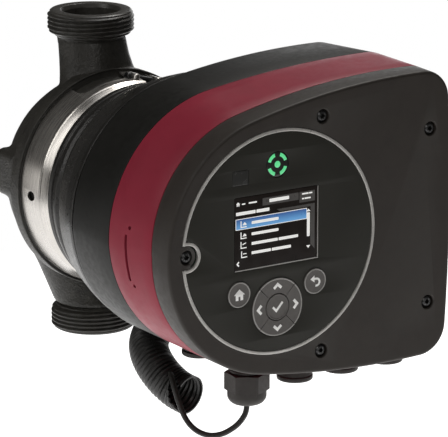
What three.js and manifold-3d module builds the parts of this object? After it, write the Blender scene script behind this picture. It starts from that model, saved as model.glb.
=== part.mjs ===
// Wet-rotor inline circulator pump with an electronic control box.
// Millimetres. The pipe axis is Z, the motor axis is Y, and they cross at the origin.
// The control panel faces -Y. "Reach" is the distance in front of the pipe axis, so y = -reach.
import * as THREE from "three";
import * as BufferGeometryUtils from "three/addons/utils/BufferGeometryUtils.js";
import Module from "manifold-3d";

const wasm = await Module();
wasm.setup();

// ---- Driving dimensions ----
const GAP = 0.3; // clearance between neighbouring pieces
const ROUND = 32; // sides of a large turned piece
const SMALL_ROUND = 16; // sides of a small turned piece

const PORT = {
  half: 90, threadR: 23.8, rootR: 22.6, boreR: 15.2, boreDepth: 12, pitch: 2.309, crests: 5, lead: 1.8,
  neckR: 18.2, neckEnd: 73.5,
};
const OUTLET_NECK = [ // height, reach of the centre, radius across, radius front to back
  [74.5, 0.8, 18.7, 18.7], [66, 3, 19.5, 18.4], [58, 5.8, 21.4, 17], [50, 9.6, 24.8, 15],
  [42, 11, 30, 14], [24, 9, 38, 14],
];
const INLET_NECK = [
  [-74.5, -1.4, 21.4, 21.2], [-70, -3.8, 22.4, 22.2], [-65, -5.8, 23.6, 23.2], [-55, -9.5, 26.4, 24.6],
  [-42, -13, 31.5, 27], [-30, -15, 37, 29], [-10, -16, 39, 30],
];
const OUTLET_DUCT = [ // x, reach, z
  [0, 0, 94], [0, 0, 84], [0, 0.5, 74], [0, 2.6, 66], [0, 5.6, 58], [0, 9, 50], [0, 12, 40], [0, 14, 28],
];
const INLET_DUCT = [
  [0, 0, -94], [0, 0, -84], [0, -1.5, -74], [0, -4.5, -66], [0, -8, -54], [0, -12.5, -40], [0, -16, -24],
  [0, -17, -8], [0, -17, 5],
];
const DUCT_R = 13.6;
const CHAMBER = { r: 46, back: 5, front: 31 };
const EYE = { r: 12.6, back: -18, ringR: 16.3, ringBack: 0.7 }; // the way into the impeller
const SEAL_GROOVE = { innerR: 45, outerR: 49.6, back: 26 };
const SEAT = { r: 60.7, back: 15, front: 23 }; // the housing's clamp seat
const LEFT_BOSS = { x: -50, z: 4.5, width: 16.5, depth: 20, height: 26 };
const SENSOR = {
  angle: -0.64, reach: 1, bossR: 13, bossEnd: 60, holeR: 5.2, stemR: 4.6, hexR: 10, hexEnd: 64,
  plugR: 8.6, plugEnd: 82,
};
const CLAMP = { back: 23.4, front: 41.2, backR: 59, frontR: 55.8, wall: 1.2, gapAngle: 14, gapWidth: 9 };
const LUG = { reach: 32, radius: 59.3, thick: 4, deep: 11, high: 6.8 };
const CLAMP_SCREW = { radius: 60.4, r: 2, headR: 2.6, socketR: 1.3, nutR: 3.5, half: 9, tip: 13 };
const DRAIN = { x: -57, reach: 31.5, z: -1, r: 2.7 };
const PLATE = {
  r: 54, back: 30, front: 32, spigotR: 45.5, spigotBack: 24.5, hubR: 13, hubFront: 36, boreR: 9.4,
};
const CAN = { innerR: 24.3, wall: 0.9, back: 34.3, front: 97 };
const STATOR = { innerR: 26, outerR: 45.8, back: 52, front: 87 };
const WINDING = { innerR: 27, outerR: 42, back: 44.5, front: 94.5 };
const SHAFT = { r: 5, back: -1, front: 95 };
const MAGNET = { r: 23.3, back: 46, front: 88 };
const IMPELLER = { r: 38, shroudBack: 7.2, shroudFront: 9, plateBack: 20.3, front: 22.3, vanes: 6, hubR: 10 };
const BOX = { back: 100, front: 168.7, wall: 3.2 };
const BAND = { back: 137.3, front: 169, wall: 2.4 };
const COVER = { back: 169.3, front: 185, edge: 1.6, wall: 3 };
// The box's outline at its back, where the trim band starts, where the band ends, and at its face.
// bend is the radius of the long curves of the top and bottom.
// low holds what differs in the lower half; shift is the height of its left arc's centre.
const REAR_LOW = { r: 73.2, shift: 4, crest: 78.5, corner: 20, bend: 600 };
const FACE_LOW = { r: 67.2, shift: -2.9, crest: 76.4, corner: 16.5, bend: 500 };
const BACK_OUTLINE = { r: 73, crest: 80.2, right: 99.5, corner: 18, bend: 450, low: REAR_LOW };
const REAR_OUTLINE = { r: 73, crest: 80.2, right: 111, corner: 23, bend: 600, low: REAR_LOW };
const BAND_OUTLINE = { r: 67.4, crest: 78, right: 110.5, corner: 17, bend: 400, low: FACE_LOW };
const FACE_OUTLINE = { r: 67, crest: 78, right: 108.6, corner: 16.5, bend: 400, low: FACE_LOW };
const SIDE_RADIUS = 1000; // the nearly straight right side

const PANEL = { r: 57.3, ringR: 59.3, back: 183.7, front: 185.2, x: -1.8 };
const NOTCH = { x: -56.15, r: 6.3, rim: 2 }; // the bite round the left cover screw
const COVER_SCREWS = [[26.3, 62.3], [26.3, -62.3], [94.6, 47], [94.6, -47], [NOTCH.x, 0]];
const SCREW = { headR: 3.2, shankR: 2, holeR: 2.3, recessR: 3.6, bossR: 5.6, postR: 4.4, socketR: 1.5 };
const DISPLAY = { x: -2, z: 7.3, width: 51.4, height: 38.6 };
const STATUS = { x: PANEL.x, z: 41, r: 6.7 };
const IR = { x: -24.2, z: 36.8, width: 9.7, height: 7.6 };
const KEYPAD = { x: PANEL.x, z: -34, r: 15.3, okR: 6.9 };
const ROUND_KEY = { r: 6.7, z: -24, side: 23.4 };
const KEY = { back: 175.2, front: 185.9 };

const ENTRY = {
  reach: 151, xs: [2.6, 33, 62.5, 92], bossR: 9.4, glandBossEnd: -76.3, bossEnd: -79.5,
  bodyR: 9.1, capR: 9.7, end: -87.6, threadR: 7.5, holeR: 7.9,
};
const REAR_ENTRY = { reach: 112, x: -1.6, bossEnd: -75.3, end: -78.3 };
const GLAND = { bodyEnd: -78.2, nutFlats: 22.6, nutEnd: -87.5, domeR: 10.5, end: -95.7, boreR: 5, mouthR: 4.2 };

const CABLE_R = 1.5;
const CABLE_ROUTE = [ // x, reach, z from the gland round the loop and into the sleeve's slit
  [2.6, 151, -96], [2.5, 151, -98], [2.1, 151, -100.2], [1.1, 150.9, -102.6], [-0.6, 150.5, -105], [-2.8, 149.8, -107.4],
  [-5.6, 148.4, -109.7], [-8.7, 146.4, -111.8], [-12, 143.8, -113.1], [-15.3, 140.4, -113.3],
  [-18.3, 136.3, -112], [-20.2, 131.8, -109.5], [-20.9, 127.2, -106], [-20.6, 122.7, -102],
  [-19.9, 118.4, -97.9], [-19, 114.3, -94.1], [-17.7, 110.3, -91], [-16.2, 106.6, -89.3],
  [-14.7, 103, -89.6], [-13.4, 99.7, -91.9],
];
const SLEEVE_R = 10.8;
const SLEEVE_ROUTE = [ // x, reach, z from the sensor round to the open end
  [59, 14, -43.9], [59, 16.6, -43.9], [58.7, 20.4, -44.9], [57.3, 25, -47.6], [54, 29.6, -52],
  [48.3, 34.2, -57.3], [40.8, 38.6, -62.4], [32, 43, -67], [22.4, 47.8, -71.2], [13, 53.3, -74.6],
  [4.3, 59.1, -77.2], [-3.8, 66.2, -79.6], [-9.9, 73.9, -82.6], [-13, 81.7, -86.4], [-13.6, 89, -90.7],
  [-12.5, 95.5, -94.9], [-10.7, 101, -98.1], [-8.9, 106, -100], [-7.6, 110.8, -100.8],
];

// ---- Materials ----
function finish(color, roughness, metalness) {
  return new THREE.MeshStandardMaterial({ color, roughness, metalness });
}
const FINISHES = {
  castBlack: finish(0x2a2927, 0.55, 0.2),
  paintBlack: finish(0x1c1b1a, 0.35, 0.1),
  coverBlack: finish(0x37332f, 0.5, 0),
  burgundy: finish(0x7a2633, 0.45, 0),
  stainless: finish(0xc9c4bc, 0.28, 1),
  steel: finish(0x8a8a88, 0.35, 1),
  darkSteel: finish(0x1e1e1e, 0.4, 0.8),
  aluminium: finish(0xa8a9aa, 0.45, 1),
  copper: finish(0xb06a3a, 0.35, 1),
  carbon: finish(0x2b2b2d, 0.5, 0),
  ceramic: finish(0xe8e4da, 0.3, 0),
  rubber: finish(0x1d1c1b, 0.8, 0),
  composite: finish(0x34332f, 0.6, 0),
  panel: finish(0x2a2925, 0.4, 0),
  silver: finish(0xbdb8b2, 0.35, 0.6),
  key: finish(0x6a6662, 0.55, 0),
  glass: finish(0x14161a, 0.08, 0),
  lens: finish(0x5fc882, 0.3, 0),
  board: finish(0x1f5a38, 0.5, 0),
  plug: finish(0x2b2725, 0.55, 0),
  cable: finish(0x1b1a19, 0.6, 0),
};

// ---- Solid helpers ----

// One closed, outward-facing indexed geometry with only positions.
function clean(geometry) {
  geometry.deleteAttribute("normal");
  geometry.deleteAttribute("uv");
  const merged = BufferGeometryUtils.mergeVertices(geometry, 1e-4);
  const index = merged.index.array;
  const kept = [];
  for (let i = 0; i < index.length; i += 3) {
    const [a, b, c] = [index[i], index[i + 1], index[i + 2]];
    if (a !== b && b !== c && c !== a) kept.push(a, b, c);
  }
  merged.setIndex(kept);
  if (signedVolume(merged) < 0) flip(merged);
  return merged;
}

function signedVolume(geometry) {
  const position = geometry.attributes.position;
  const index = geometry.index.array;
  const [a, b, c] = [new THREE.Vector3(), new THREE.Vector3(), new THREE.Vector3()];
  let total = 0;
  for (let i = 0; i < index.length; i += 3) {
    a.fromBufferAttribute(position, index[i]);
    b.fromBufferAttribute(position, index[i + 1]);
    c.fromBufferAttribute(position, index[i + 2]);
    total += a.dot(b.cross(c)) / 6;
  }
  return total;
}

function flip(geometry) {
  const index = geometry.index.array;
  for (let i = 0; i < index.length; i += 3) {
    [index[i], index[i + 1]] = [index[i + 1], index[i]];
  }
}

function solid(geometry) {
  const merged = clean(geometry);
  return new wasm.Manifold(new wasm.Mesh({
    numProp: 3,
    vertProperties: Float32Array.from(merged.attributes.position.array),
    triVerts: Uint32Array.from(merged.index.array),
  }));
}

function fromSolid(manifold) {
  const mesh = manifold.getMesh();
  const geometry = new THREE.BufferGeometry();
  geometry.setAttribute("position", new THREE.BufferAttribute(mesh.vertProperties, 3));
  geometry.setIndex(new THREE.BufferAttribute(mesh.triVerts, 1));
  return geometry;
}

function carve(base, ...cutters) {
  let result = solid(base);
  for (const cutter of cutters) result = result.subtract(solid(cutter));
  return fromSolid(result);
}

function join(first, ...others) {
  let result = solid(first);
  for (const other of others) result = result.add(solid(other));
  return fromSolid(result);
}

// ---- Shape helpers ----

// A turned piece on the motor axis. The profile is a loop of [radius, reach] pairs.
function turnedOnMotor(profile, sides = ROUND) {
  const points = profile.map(([r, reach]) => new THREE.Vector2(r, -reach));
  return new THREE.LatheGeometry([...points, points[0]], sides);
}

// A turned piece on an upright axis through (x, reach). The profile is a loop of [radius, z] pairs.
function turnedUpright(profile, x = 0, reach = 0, sides = SMALL_ROUND) {
  const points = profile.map(([r, z]) => new THREE.Vector2(r, z));
  return new THREE.LatheGeometry([...points, points[0]], sides).rotateX(Math.PI / 2).translate(x, -reach, 0);
}

const discProfile = (r, from, to) => [[0, from], [r, from], [r, to], [0, to]];
const ringProfile = (inner, outer, from, to) => [[inner, from], [outer, from], [outer, to], [inner, to]];

function motorDisc(r, from, to, sides) {
  return turnedOnMotor(discProfile(r, from, to), sides);
}

function motorRing(inner, outer, from, to, sides) {
  return turnedOnMotor(ringProfile(inner, outer, from, to), sides);
}

function uprightDisc(r, x, reach, from, to, sides) {
  return turnedUpright(discProfile(r, from, to), x, reach, sides);
}

// A flat outline in X and Z, pushed forward from one reach to another.
function pushed(shape, from, to, curveSegments = 10) {
  const geometry = new THREE.ExtrudeGeometry(shape, { depth: to - from, bevelEnabled: false, curveSegments });
  return geometry.rotateX(Math.PI / 2).translate(0, -from, 0);
}

function disc(x, z, r) {
  const shape = new THREE.Shape();
  shape.absarc(x, z, r, 0, Math.PI * 2);
  return shape;
}

function rectangle(x, z, width, height) {
  const shape = new THREE.Shape();
  shape.moveTo(x - width / 2, z - height / 2);
  shape.lineTo(x + width / 2, z - height / 2);
  shape.lineTo(x + width / 2, z + height / 2);
  shape.lineTo(x - width / 2, z + height / 2);
  shape.closePath();
  return shape;
}

const frontPin = (x, z, r, from, to, segments = 10) => pushed(disc(x, z, r), from, to, segments);

function block(x, reach, z, width, depth, height) {
  return new THREE.BoxGeometry(width, depth, height).translate(x, -reach, z);
}

// Skin over a stack of rings that all have the same number of points.
function loft(rings) {
  const count = rings[0].length;
  const positions = rings.flat().flatMap((p) => [p.x, p.y, p.z]);
  const index = [];
  for (let k = 0; k + 1 < rings.length; k += 1) {
    for (let i = 0; i < count; i += 1) {
      const j = (i + 1) % count;
      const [a, b, c, d] = [k * count + i, k * count + j, (k + 1) * count + j, (k + 1) * count + i];
      index.push(a, b, c, a, c, d);
    }
  }
  const last = (rings.length - 1) * count;
  for (let i = 1; i + 1 < count; i += 1) {
    index.push(0, i + 1, i);
    index.push(last, last + i, last + i + 1);
  }
  const geometry = new THREE.BufferGeometry();
  geometry.setAttribute("position", new THREE.Float32BufferAttribute(positions, 3));
  geometry.setIndex(index);
  return geometry;
}

// A round-sided neck: level ellipses, each with its own centre reach.
function neck(sections, sides = 20) {
  return loft(sections.map(([z, reach, across, deep]) => {
    const ring = [];
    for (let i = 0; i < sides; i += 1) {
      const angle = (i / sides) * Math.PI * 2;
      ring.push(new THREE.Vector3(across * Math.cos(angle), -reach + deep * Math.sin(angle), z));
    }
    return ring;
  }));
}

// A tube or bar of radius r along a smooth route of [x, reach, z] points.
function routed(route, r, sides, steps) {
  const points = route.map(([x, reach, z]) => new THREE.Vector3(x, -reach, z));
  const path = new THREE.CatmullRomCurve3(points, false, "centripetal");
  const section = new THREE.Shape();
  for (let i = 0; i < sides; i += 1) {
    const angle = (i / sides) * Math.PI * 2;
    const [u, v] = [r * Math.cos(angle), r * Math.sin(angle)];
    if (i === 0) section.moveTo(u, v);
    else section.lineTo(u, v);
  }
  section.closePath();
  return new THREE.ExtrudeGeometry(section, { steps, extrudePath: path, bevelEnabled: false });
}

// ---- The box outline: a circle round the motor axis, two long crest curves and two rounded corners ----

function cornerCentre(crest, side, r) {
  const span = new THREE.Vector2().subVectors(side.centre, crest.centre);
  const distance = span.length();
  const [a, b] = [crest.radius - r, side.radius - r];
  const along = (distance * distance + a * a - b * b) / (2 * distance);
  const across = Math.sqrt(a * a - along * along);
  const unit = span.normalize();
  return new THREE.Vector2(
    crest.centre.x + unit.x * along + unit.y * across,
    crest.centre.y + unit.y * along - unit.x * across,
  );
}

function boxOutline({ low, ...top }, inset = 0) {
  const upper = halfOutline({ ...top, shift: 0 }, inset);
  const lower = halfOutline({ ...top, ...low, shift: -low.shift }, inset);
  const mirrored = lower.slice(1).reverse().map((p) => new THREE.Vector2(p.x, -p.y));
  return [...upper, new THREE.Vector2(-(top.r - inset), 0), ...mirrored];
}

// Half an outline as if it were the upper one, from the middle of the right side to the far left.
function halfOutline({ r, crest, right, corner, bend, shift }, inset) {
  const left = new THREE.Vector2(0, shift);
  const crestArc = { radius: bend, centre: new THREE.Vector2() };
  crestArc.centre.y = crest - bend;
  crestArc.centre.x = Math.sqrt((bend - r) ** 2 - (crestArc.centre.y - shift) ** 2);
  const sideArc = { radius: SIDE_RADIUS, centre: new THREE.Vector2(right - SIDE_RADIUS, 0) };
  const turn = cornerCentre(crestArc, sideArc, corner);
  const crestStart = Math.atan2(turn.y - crestArc.centre.y, turn.x - crestArc.centre.x);
  const crestEnd = Math.atan2(shift - crestArc.centre.y, -crestArc.centre.x);
  const sideEnd = Math.atan2(turn.y, turn.x - sideArc.centre.x);
  const level = Math.PI + Math.asin(shift / r);
  return [
    ...arc(sideArc.centre, SIDE_RADIUS - inset, 0, sideEnd, 1),
    ...arc(turn, corner - inset, sideEnd, crestStart, 4),
    ...arc(crestArc.centre, bend - inset, crestStart, crestEnd, 4),
    ...arc(left, r - inset, crestEnd, level, 9),
  ];
}

// Points along an arc, without the last one.
function arc(centre, radius, from, to, steps) {
  const points = [];
  for (let i = 0; i < steps; i += 1) {
    const angle = from + ((to - from) * i) / steps;
    points.push(new THREE.Vector2(centre.x + radius * Math.cos(angle), centre.y + radius * Math.sin(angle)));
  }
  return points;
}

const atReach = (outline, reach) => outline.map((p) => new THREE.Vector3(p.x, -reach, p.y));

// ---- Hydraulic end ----

// Outer half-profile of one threaded port, from the port face inward.
function portProfile() {
  const { half, threadR, rootR, pitch, crests, lead, neckR, neckEnd } = PORT;
  const profile = [[0, half], [rootR, half]];
  for (let i = 0; i < crests; i += 1) {
    const z = half - lead - i * pitch;
    profile.push([threadR, z], [rootR, z - pitch / 2]);
  }
  profile.push([neckR, neckEnd], [neckR, neckEnd - 1], [0, neckEnd - 1]);
  return profile;
}

function voluteBody() {
  return turnedOnMotor([
    [0, -52], [15, -52], [26, -46], [35, -32], [43, -19], [50, -8], [54.4, 0], [56.2, 8], [56.4, 12],
    [SEAT.r, SEAT.back], [SEAT.r, SEAT.front], [56, SEAT.front + 0.2], [55.6, 29.6], [0, 29.6],
  ]);
}

function pumpHousing() {
  const topPort = turnedUpright(portProfile(), 0, 0, 20);
  const bottomPort = turnedUpright(portProfile(), 0, 0, 20).rotateX(Math.PI);
  const leftBoss = block(LEFT_BOSS.x, 0, LEFT_BOSS.z, LEFT_BOSS.width, LEFT_BOSS.depth, LEFT_BOSS.height);
  const sensorBoss = onSensorAxis(SENSOR.bossR, 40, SENSOR.bossEnd);
  const necks = [neck(OUTLET_NECK), neck(INLET_NECK)];
  const body = join(voluteBody(), topPort, bottomPort, ...necks, leftBoss, sensorBoss);
  const outlet = routed(OUTLET_DUCT, DUCT_R, 12, 8);
  const inlet = routed(INLET_DUCT, DUCT_R, 12, 9);
  const boreEnd = PORT.half - PORT.boreDepth;
  const outletMouth = uprightDisc(PORT.boreR, 0, 0, boreEnd, PORT.half + 5);
  const inletMouth = uprightDisc(PORT.boreR, 0, 0, -PORT.half - 5, -boreEnd);
  const eye = motorDisc(EYE.r, EYE.back, CHAMBER.back + 1, 16);
  const ringSeat = motorDisc(EYE.ringR, EYE.ringBack, CHAMBER.back + 1, 20);
  const chamber = motorDisc(CHAMBER.r, CHAMBER.back, CHAMBER.front);
  const sealGroove = motorRing(SEAL_GROOVE.innerR, SEAL_GROOVE.outerR, SEAL_GROOVE.back, CHAMBER.front);
  const sensorHole = onSensorAxis(SENSOR.holeR, 44, SENSOR.bossEnd + 2, 10);
  const waterways = [outlet, inlet, outletMouth, inletMouth, eye, ringSeat, chamber];
  return carve(body, ...waterways, sealGroove, sensorHole);
}

// A round or six-sided piece on the sensor's axis, which leaves the housing low on its right.
function onSensorAxis(r, from, to, sides = SMALL_ROUND) {
  const geometry = new THREE.CylinderGeometry(r, r, to - from, sides).translate(0, (from + to) / 2, 0);
  const direction = new THREE.Vector3(Math.cos(SENSOR.angle), 0, Math.sin(SENSOR.angle));
  const turn = new THREE.Quaternion().setFromUnitVectors(new THREE.Vector3(0, 1, 0), direction);
  return geometry.applyQuaternion(turn).translate(0, -SENSOR.reach, 0);
}

function sensorBody() {
  const hexagon = onSensorAxis(SENSOR.hexR, SENSOR.bossEnd + GAP, SENSOR.hexEnd, 6);
  const stem = onSensorAxis(SENSOR.stemR, 45, SENSOR.bossEnd + 1, 10);
  return join(hexagon, stem);
}

// The plug turns the sensor's outward axis into the sleeve's forward run.
function sensorPlug() {
  const cap = onSensorAxis(SENSOR.plugR, SENSOR.hexEnd + GAP, SENSOR.plugEnd, 14);
  const [x, reach, z] = SLEEVE_ROUTE[0];
  const snout = motorDisc(SENSOR.plugR, SENSOR.reach, reach - GAP, 14).translate(x, 0, z);
  return join(cap, snout);
}

// The sleeve's outer shape, with the hole that the cable enters it by.
function cableSleeve() {
  return carve(routed(SLEEVE_ROUTE, SLEEVE_R, 10, 22), routed(CABLE_ROUTE, CABLE_R + GAP, 8, 24));
}

// ---- Clamp ----

// Places a geometry, built upright at x = 0, at an angle clockwise from the top round the motor axis.
const roundMotor = (geometry, degrees) => geometry.rotateY((degrees * Math.PI) / 180);

function clampBand() {
  const { back, front, backR, frontR, wall, gapAngle, gapWidth } = CLAMP;
  const strip = turnedOnMotor([
    [backR - wall, back], [backR, back], [frontR + 0.3, front - 0.8], [frontR - 0.4, front],
    [frontR - 3, front], [frontR - 3, front - wall], [frontR - wall, front - wall],
  ]);
  const lugs = [];
  for (const side of [-1, 1]) {
    const x = side * (gapWidth + LUG.thick) / 2;
    lugs.push(roundMotor(block(x, LUG.reach, LUG.radius, LUG.thick, LUG.deep, LUG.high), gapAngle));
  }
  const opening = roundMotor(block(0, LUG.reach, backR - 3, gapWidth, 30, 16), gapAngle);
  const inside = motorDisc(PLATE.r + 0.2, back + 0.6, front - 1.2);
  const drain = new THREE.CylinderGeometry(DRAIN.r, DRAIN.r, 20, 10).rotateZ(Math.PI / 2);
  drain.translate(DRAIN.x, -DRAIN.reach, DRAIN.z);
  const screwHole = acrossClamp(CLAMP_SCREW.r + 0.5, -20, 20);
  return carve(join(strip, ...lugs), opening, inside, drain, screwHole);
}

// A turned piece on the clamp screw's axis, which crosses the band's gap.
function acrossClamp(r, from, to, sides = 12) {
  const geometry = new THREE.CylinderGeometry(r, r, to - from, sides).rotateZ(-Math.PI / 2);
  return roundMotor(geometry.translate((from + to) / 2, -LUG.reach, CLAMP_SCREW.radius), CLAMP.gapAngle);
}

function clampScrew() {
  const { r, headR, socketR, half, tip } = CLAMP_SCREW;
  const shank = acrossClamp(r, -half, tip);
  const head = acrossClamp(headR, -half - 4, -half + 0.1);
  return carve(join(shank, head), acrossClamp(socketR, -half - 5, -half - 2, 6));
}

function clampNut() {
  const { r, nutR, half } = CLAMP_SCREW;
  return carve(acrossClamp(nutR, half - 0.1, half + 3, 6), acrossClamp(r + GAP, half - 1, half + 5, 14));
}

// ---- Motor ----

function bearingPlate() {
  const { r, back, front, spigotR, spigotBack, hubR, hubFront, boreR } = PLATE;
  return turnedOnMotor([
    [boreR, spigotBack], [30, spigotBack], [spigotR - 1.2, 25.6], [spigotR - 1.2, back],
    [r, back], [r, front], [hubR, front], [hubR, hubFront], [boreR, hubFront],
  ]);
}

// The can's flange rests on the bearing plate.
function rotorCan() {
  const { innerR, wall, back, front } = CAN;
  const flangeBack = PLATE.front + GAP;
  return turnedOnMotor([
    [innerR, flangeBack], [34, flangeBack], [34, back - 1], [innerR + wall, back + 1],
    [innerR + wall, front], [0, front], [0, front - wall], [innerR, front - wall],
  ]);
}

function statorHousing() {
  return turnedOnMotor([
    [46.3, 32.3], [54, 32.3], [53.2, 39], [51.6, 39.8], [51.6, 42.2], [55.2, 42.6], [58.6, 46.6],
    [60.6, 54], [60.6, 60.4], [59.4, 61.4], [59.4, 64.6], [63.4, 70], [69.6, 88], [72.4, 97], [72.4, 99.7],
    [62, 99.7], [46.3, 88],
  ]);
}

function impeller() {
  const { r, shroudBack, shroudFront, plateBack, front, vanes, hubR } = IMPELLER;
  const hub = motorRing(SHAFT.r + GAP, hubR, 6, front, 18);
  const plate = motorRing(SHAFT.r + GAP, r, plateBack, front, 18);
  const shroud = motorRing(13.4, r, shroudBack, shroudFront, 18);
  const eyeCollar = motorRing(12, 13.9, 1.4, shroudFront, 18);
  const blades = [];
  for (let i = 0; i < vanes; i += 1) {
    blades.push(vane().rotateY((i / vanes) * Math.PI * 2));
  }
  const bore = motorDisc(SHAFT.r + GAP, 0, front + 2, 18);
  return carve(join(plate, hub, shroud, eyeCollar, ...blades), bore);
}

// One back-swept vane between the impeller's two plates.
function vane() {
  const shape = new THREE.Shape();
  shape.moveTo(8, -1);
  shape.quadraticCurveTo(22, 2, 36.5, -12);
  shape.lineTo(37.4, -10.4);
  shape.quadraticCurveTo(22, 4.4, 8, 1);
  shape.closePath();
  return pushed(shape, IMPELLER.shroudFront - 0.4, IMPELLER.plateBack + 0.3, 3);
}

// ---- Control box ----

function boxShape(outer, inner, from, to) {
  return loft([atReach(outer, from), atReach(inner, to)]);
}

const bandInset = BAND.wall + GAP + 0.2;
const entries = ENTRY.xs.map((x, i) => [x, ENTRY.reach, i ? ENTRY.bossEnd : ENTRY.glandBossEnd]);
entries.push([REAR_ENTRY.x, REAR_ENTRY.reach, REAR_ENTRY.bossEnd]);

function controlBox() {
  const bevel = 1.6;
  const side = BOX.back + bevel;
  const rear = boxShape(boxOutline(BACK_OUTLINE, bevel), boxOutline(BACK_OUTLINE), BOX.back, side);
  const rearSide = boxShape(boxOutline(BACK_OUTLINE), boxOutline(REAR_OUTLINE), side, BAND.back - GAP);
  const frontSide = boxShape(
    boxOutline(REAR_OUTLINE, bandInset), boxOutline(BAND_OUTLINE, bandInset), BAND.back - 1, BOX.front,
  );
  const bosses = entries.map(([x, reach, end]) => uprightDisc(ENTRY.bossR, x, reach, end, -60));
  const inset = bandInset + BOX.wall;
  const rearCavity = boxShape(
    boxOutline(BACK_OUTLINE, inset), boxOutline(REAR_OUTLINE, inset), BOX.back + 4, BAND.back,
  );
  const frontCavity = boxShape(
    boxOutline(REAR_OUTLINE, inset + 0.2), boxOutline(BAND_OUTLINE, inset), BAND.back - 1, BOX.front + 1,
  );
  const holes = entries.map(([x, reach]) => uprightDisc(ENTRY.holeR, x, reach, -100, -50));
  const motorWindow = motorDisc(40, 90, 110, 24);
  const cavity = join(rearCavity, frontCavity);
  const shell = carve(join(rear, rearSide, frontSide, ...bosses), cavity, motorWindow, ...holes);
  const posts = COVER_SCREWS.map(([x, z]) => frontPin(x, z, SCREW.postR, BOX.back + 2, BOX.front - 3.2, 4));
  const tapped = COVER_SCREWS.map(([x, z]) => frontPin(x, z, SCREW.holeR, 150, 170, 3));
  return carve(join(shell, ...posts), ...tapped);
}

const BAND_SLOT = { x: -70, reach: 150, z: -6, width: 1.8, height: 25 };
function trimBand() {
  const outer = boxShape(boxOutline(REAR_OUTLINE), boxOutline(BAND_OUTLINE), BAND.back, BAND.front);
  const inner = boxShape(
    boxOutline(REAR_OUTLINE, BAND.wall), boxOutline(BAND_OUTLINE, BAND.wall), BAND.back - 2, BAND.front + 2,
  );
  const notches = ENTRY.xs.map((x) => uprightDisc(ENTRY.bossR + GAP, x, ENTRY.reach, -100, -60));
  const slot = block(BAND_SLOT.x, BAND_SLOT.reach, BAND_SLOT.z, 12, BAND_SLOT.width, BAND_SLOT.height);
  return carve(outer, inner, slot, ...notches);
}

function coverSeal() {
  const ring = (inset) => boxOutline(BAND_OUTLINE, inset);
  const outer = boxShape(ring(6.5), ring(6.5), 165.8, COVER.back - GAP);
  const inner = boxShape(ring(7.7), ring(7.7), 160, 180);
  return carve(outer, inner);
}

function frontCover() {
  const { back, front, edge, wall } = COVER;
  const skirt = loft([
    atReach(boxOutline(BAND_OUTLINE), back),
    atReach(boxOutline(FACE_OUTLINE), front - edge),
    atReach(boxOutline(FACE_OUTLINE, edge * 0.4), front - edge * 0.3),
    atReach(boxOutline(FACE_OUTLINE, edge), front),
  ]);
  const cavity = boxShape(
    boxOutline(FACE_OUTLINE, wall + 7), boxOutline(FACE_OUTLINE, wall + 7), back - 1, front - wall,
  );
  const window = motorDisc(54.5, 160, 190, 32);
  const recess = pushed(panelShape(PANEL.ringR + GAP, NOTCH.r - GAP), PANEL.back - GAP, 190, 16);
  const pins = (r, from, to, segments) => COVER_SCREWS.map(([x, z]) => frontPin(x, z, r, from, to, segments));
  const screwBosses = pins(SCREW.bossR, back, front - 1, 5);
  const screwHoles = pins(SCREW.recessR, front - 4, front + 5, 6);
  const shankHoles = pins(SCREW.holeR, back - 9, front + 5, 3);
  const hollow = fromSolid(solid(skirt).subtract(solid(cavity)).subtract(solid(window)));
  const bodied = join(hollow, ...screwBosses);
  return carve(bodied, recess, ...screwHoles, ...shankHoles);
}

// ---- Control panel ----

// A disc with a round bite out of its left edge, which runs straight out to the rim.
function panelShape(r, biteR) {
  const rimAngle = Math.PI - Math.asin(biteR / r);
  const shape = new THREE.Shape();
  shape.absarc(0, 0, r, -rimAngle, rimAngle, false);
  shape.absarc(NOTCH.x, 0, biteR, Math.PI / 2, -Math.PI / 2, true);
  shape.closePath();
  return shape;
}

function panelDisc() {
  const shape = panelShape(PANEL.r, NOTCH.r + NOTCH.rim);
  shape.holes.push(rectangle(DISPLAY.x, DISPLAY.z, DISPLAY.width + 2 * GAP, DISPLAY.height + 2 * GAP));
  shape.holes.push(rectangle(IR.x, IR.z, IR.width + 2 * GAP, IR.height + 2 * GAP));
  shape.holes.push(disc(STATUS.x, STATUS.z, STATUS.r + GAP));
  shape.holes.push(disc(KEYPAD.x, KEYPAD.z, KEYPAD.r + 0.4));
  for (const side of [-1, 1]) {
    shape.holes.push(disc(PANEL.x + side * ROUND_KEY.side, ROUND_KEY.z, ROUND_KEY.r + 0.4));
  }
  return pushed(shape, PANEL.back, PANEL.front, 8);
}

function panelRing() {
  const outer = solid(pushed(panelShape(PANEL.ringR, NOTCH.r), PANEL.back, PANEL.front + 0.2, 16));
  const inner = solid(pushed(panelShape(PANEL.r + GAP, NOTCH.r + NOTCH.rim - GAP), 180, 190, 16));
  return fromSolid(outer.subtract(inner));
}

// A quarter of the round pad, between the OK key and the rim, centred on an angle.
function padKey(degrees) {
  const half = Math.PI / 4;
  const [inner, outer] = [KEYPAD.okR + 0.4, KEYPAD.r];
  const shape = new THREE.Shape();
  shape.absarc(0, 0, outer, -half + 0.2 / outer, half - 0.2 / outer, false);
  shape.absarc(0, 0, inner, half - 0.2 / inner, -half + 0.2 / inner, true);
  shape.closePath();
  const geometry = pushed(shape, KEY.back, KEY.front, 5);
  return geometry.rotateY((-degrees * Math.PI) / 180).translate(KEYPAD.x, 0, KEYPAD.z);
}

// ---- Cable entries ----

function blankingPlug(x, reach, bossEnd, end) {
  const { threadR, bodyR, capR } = ENTRY;
  const top = bossEnd + 11;
  const capTop = end + 2.6;
  return turnedUpright([
    [0, top], [threadR, top], [threadR, bossEnd - 0.2], [bodyR, bossEnd - GAP],
    [bodyR, capTop + 0.2], [capR, capTop], [capR, end + 0.8], [capR - 0.8, end], [0, end],
  ], x, reach, 18);
}

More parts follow.
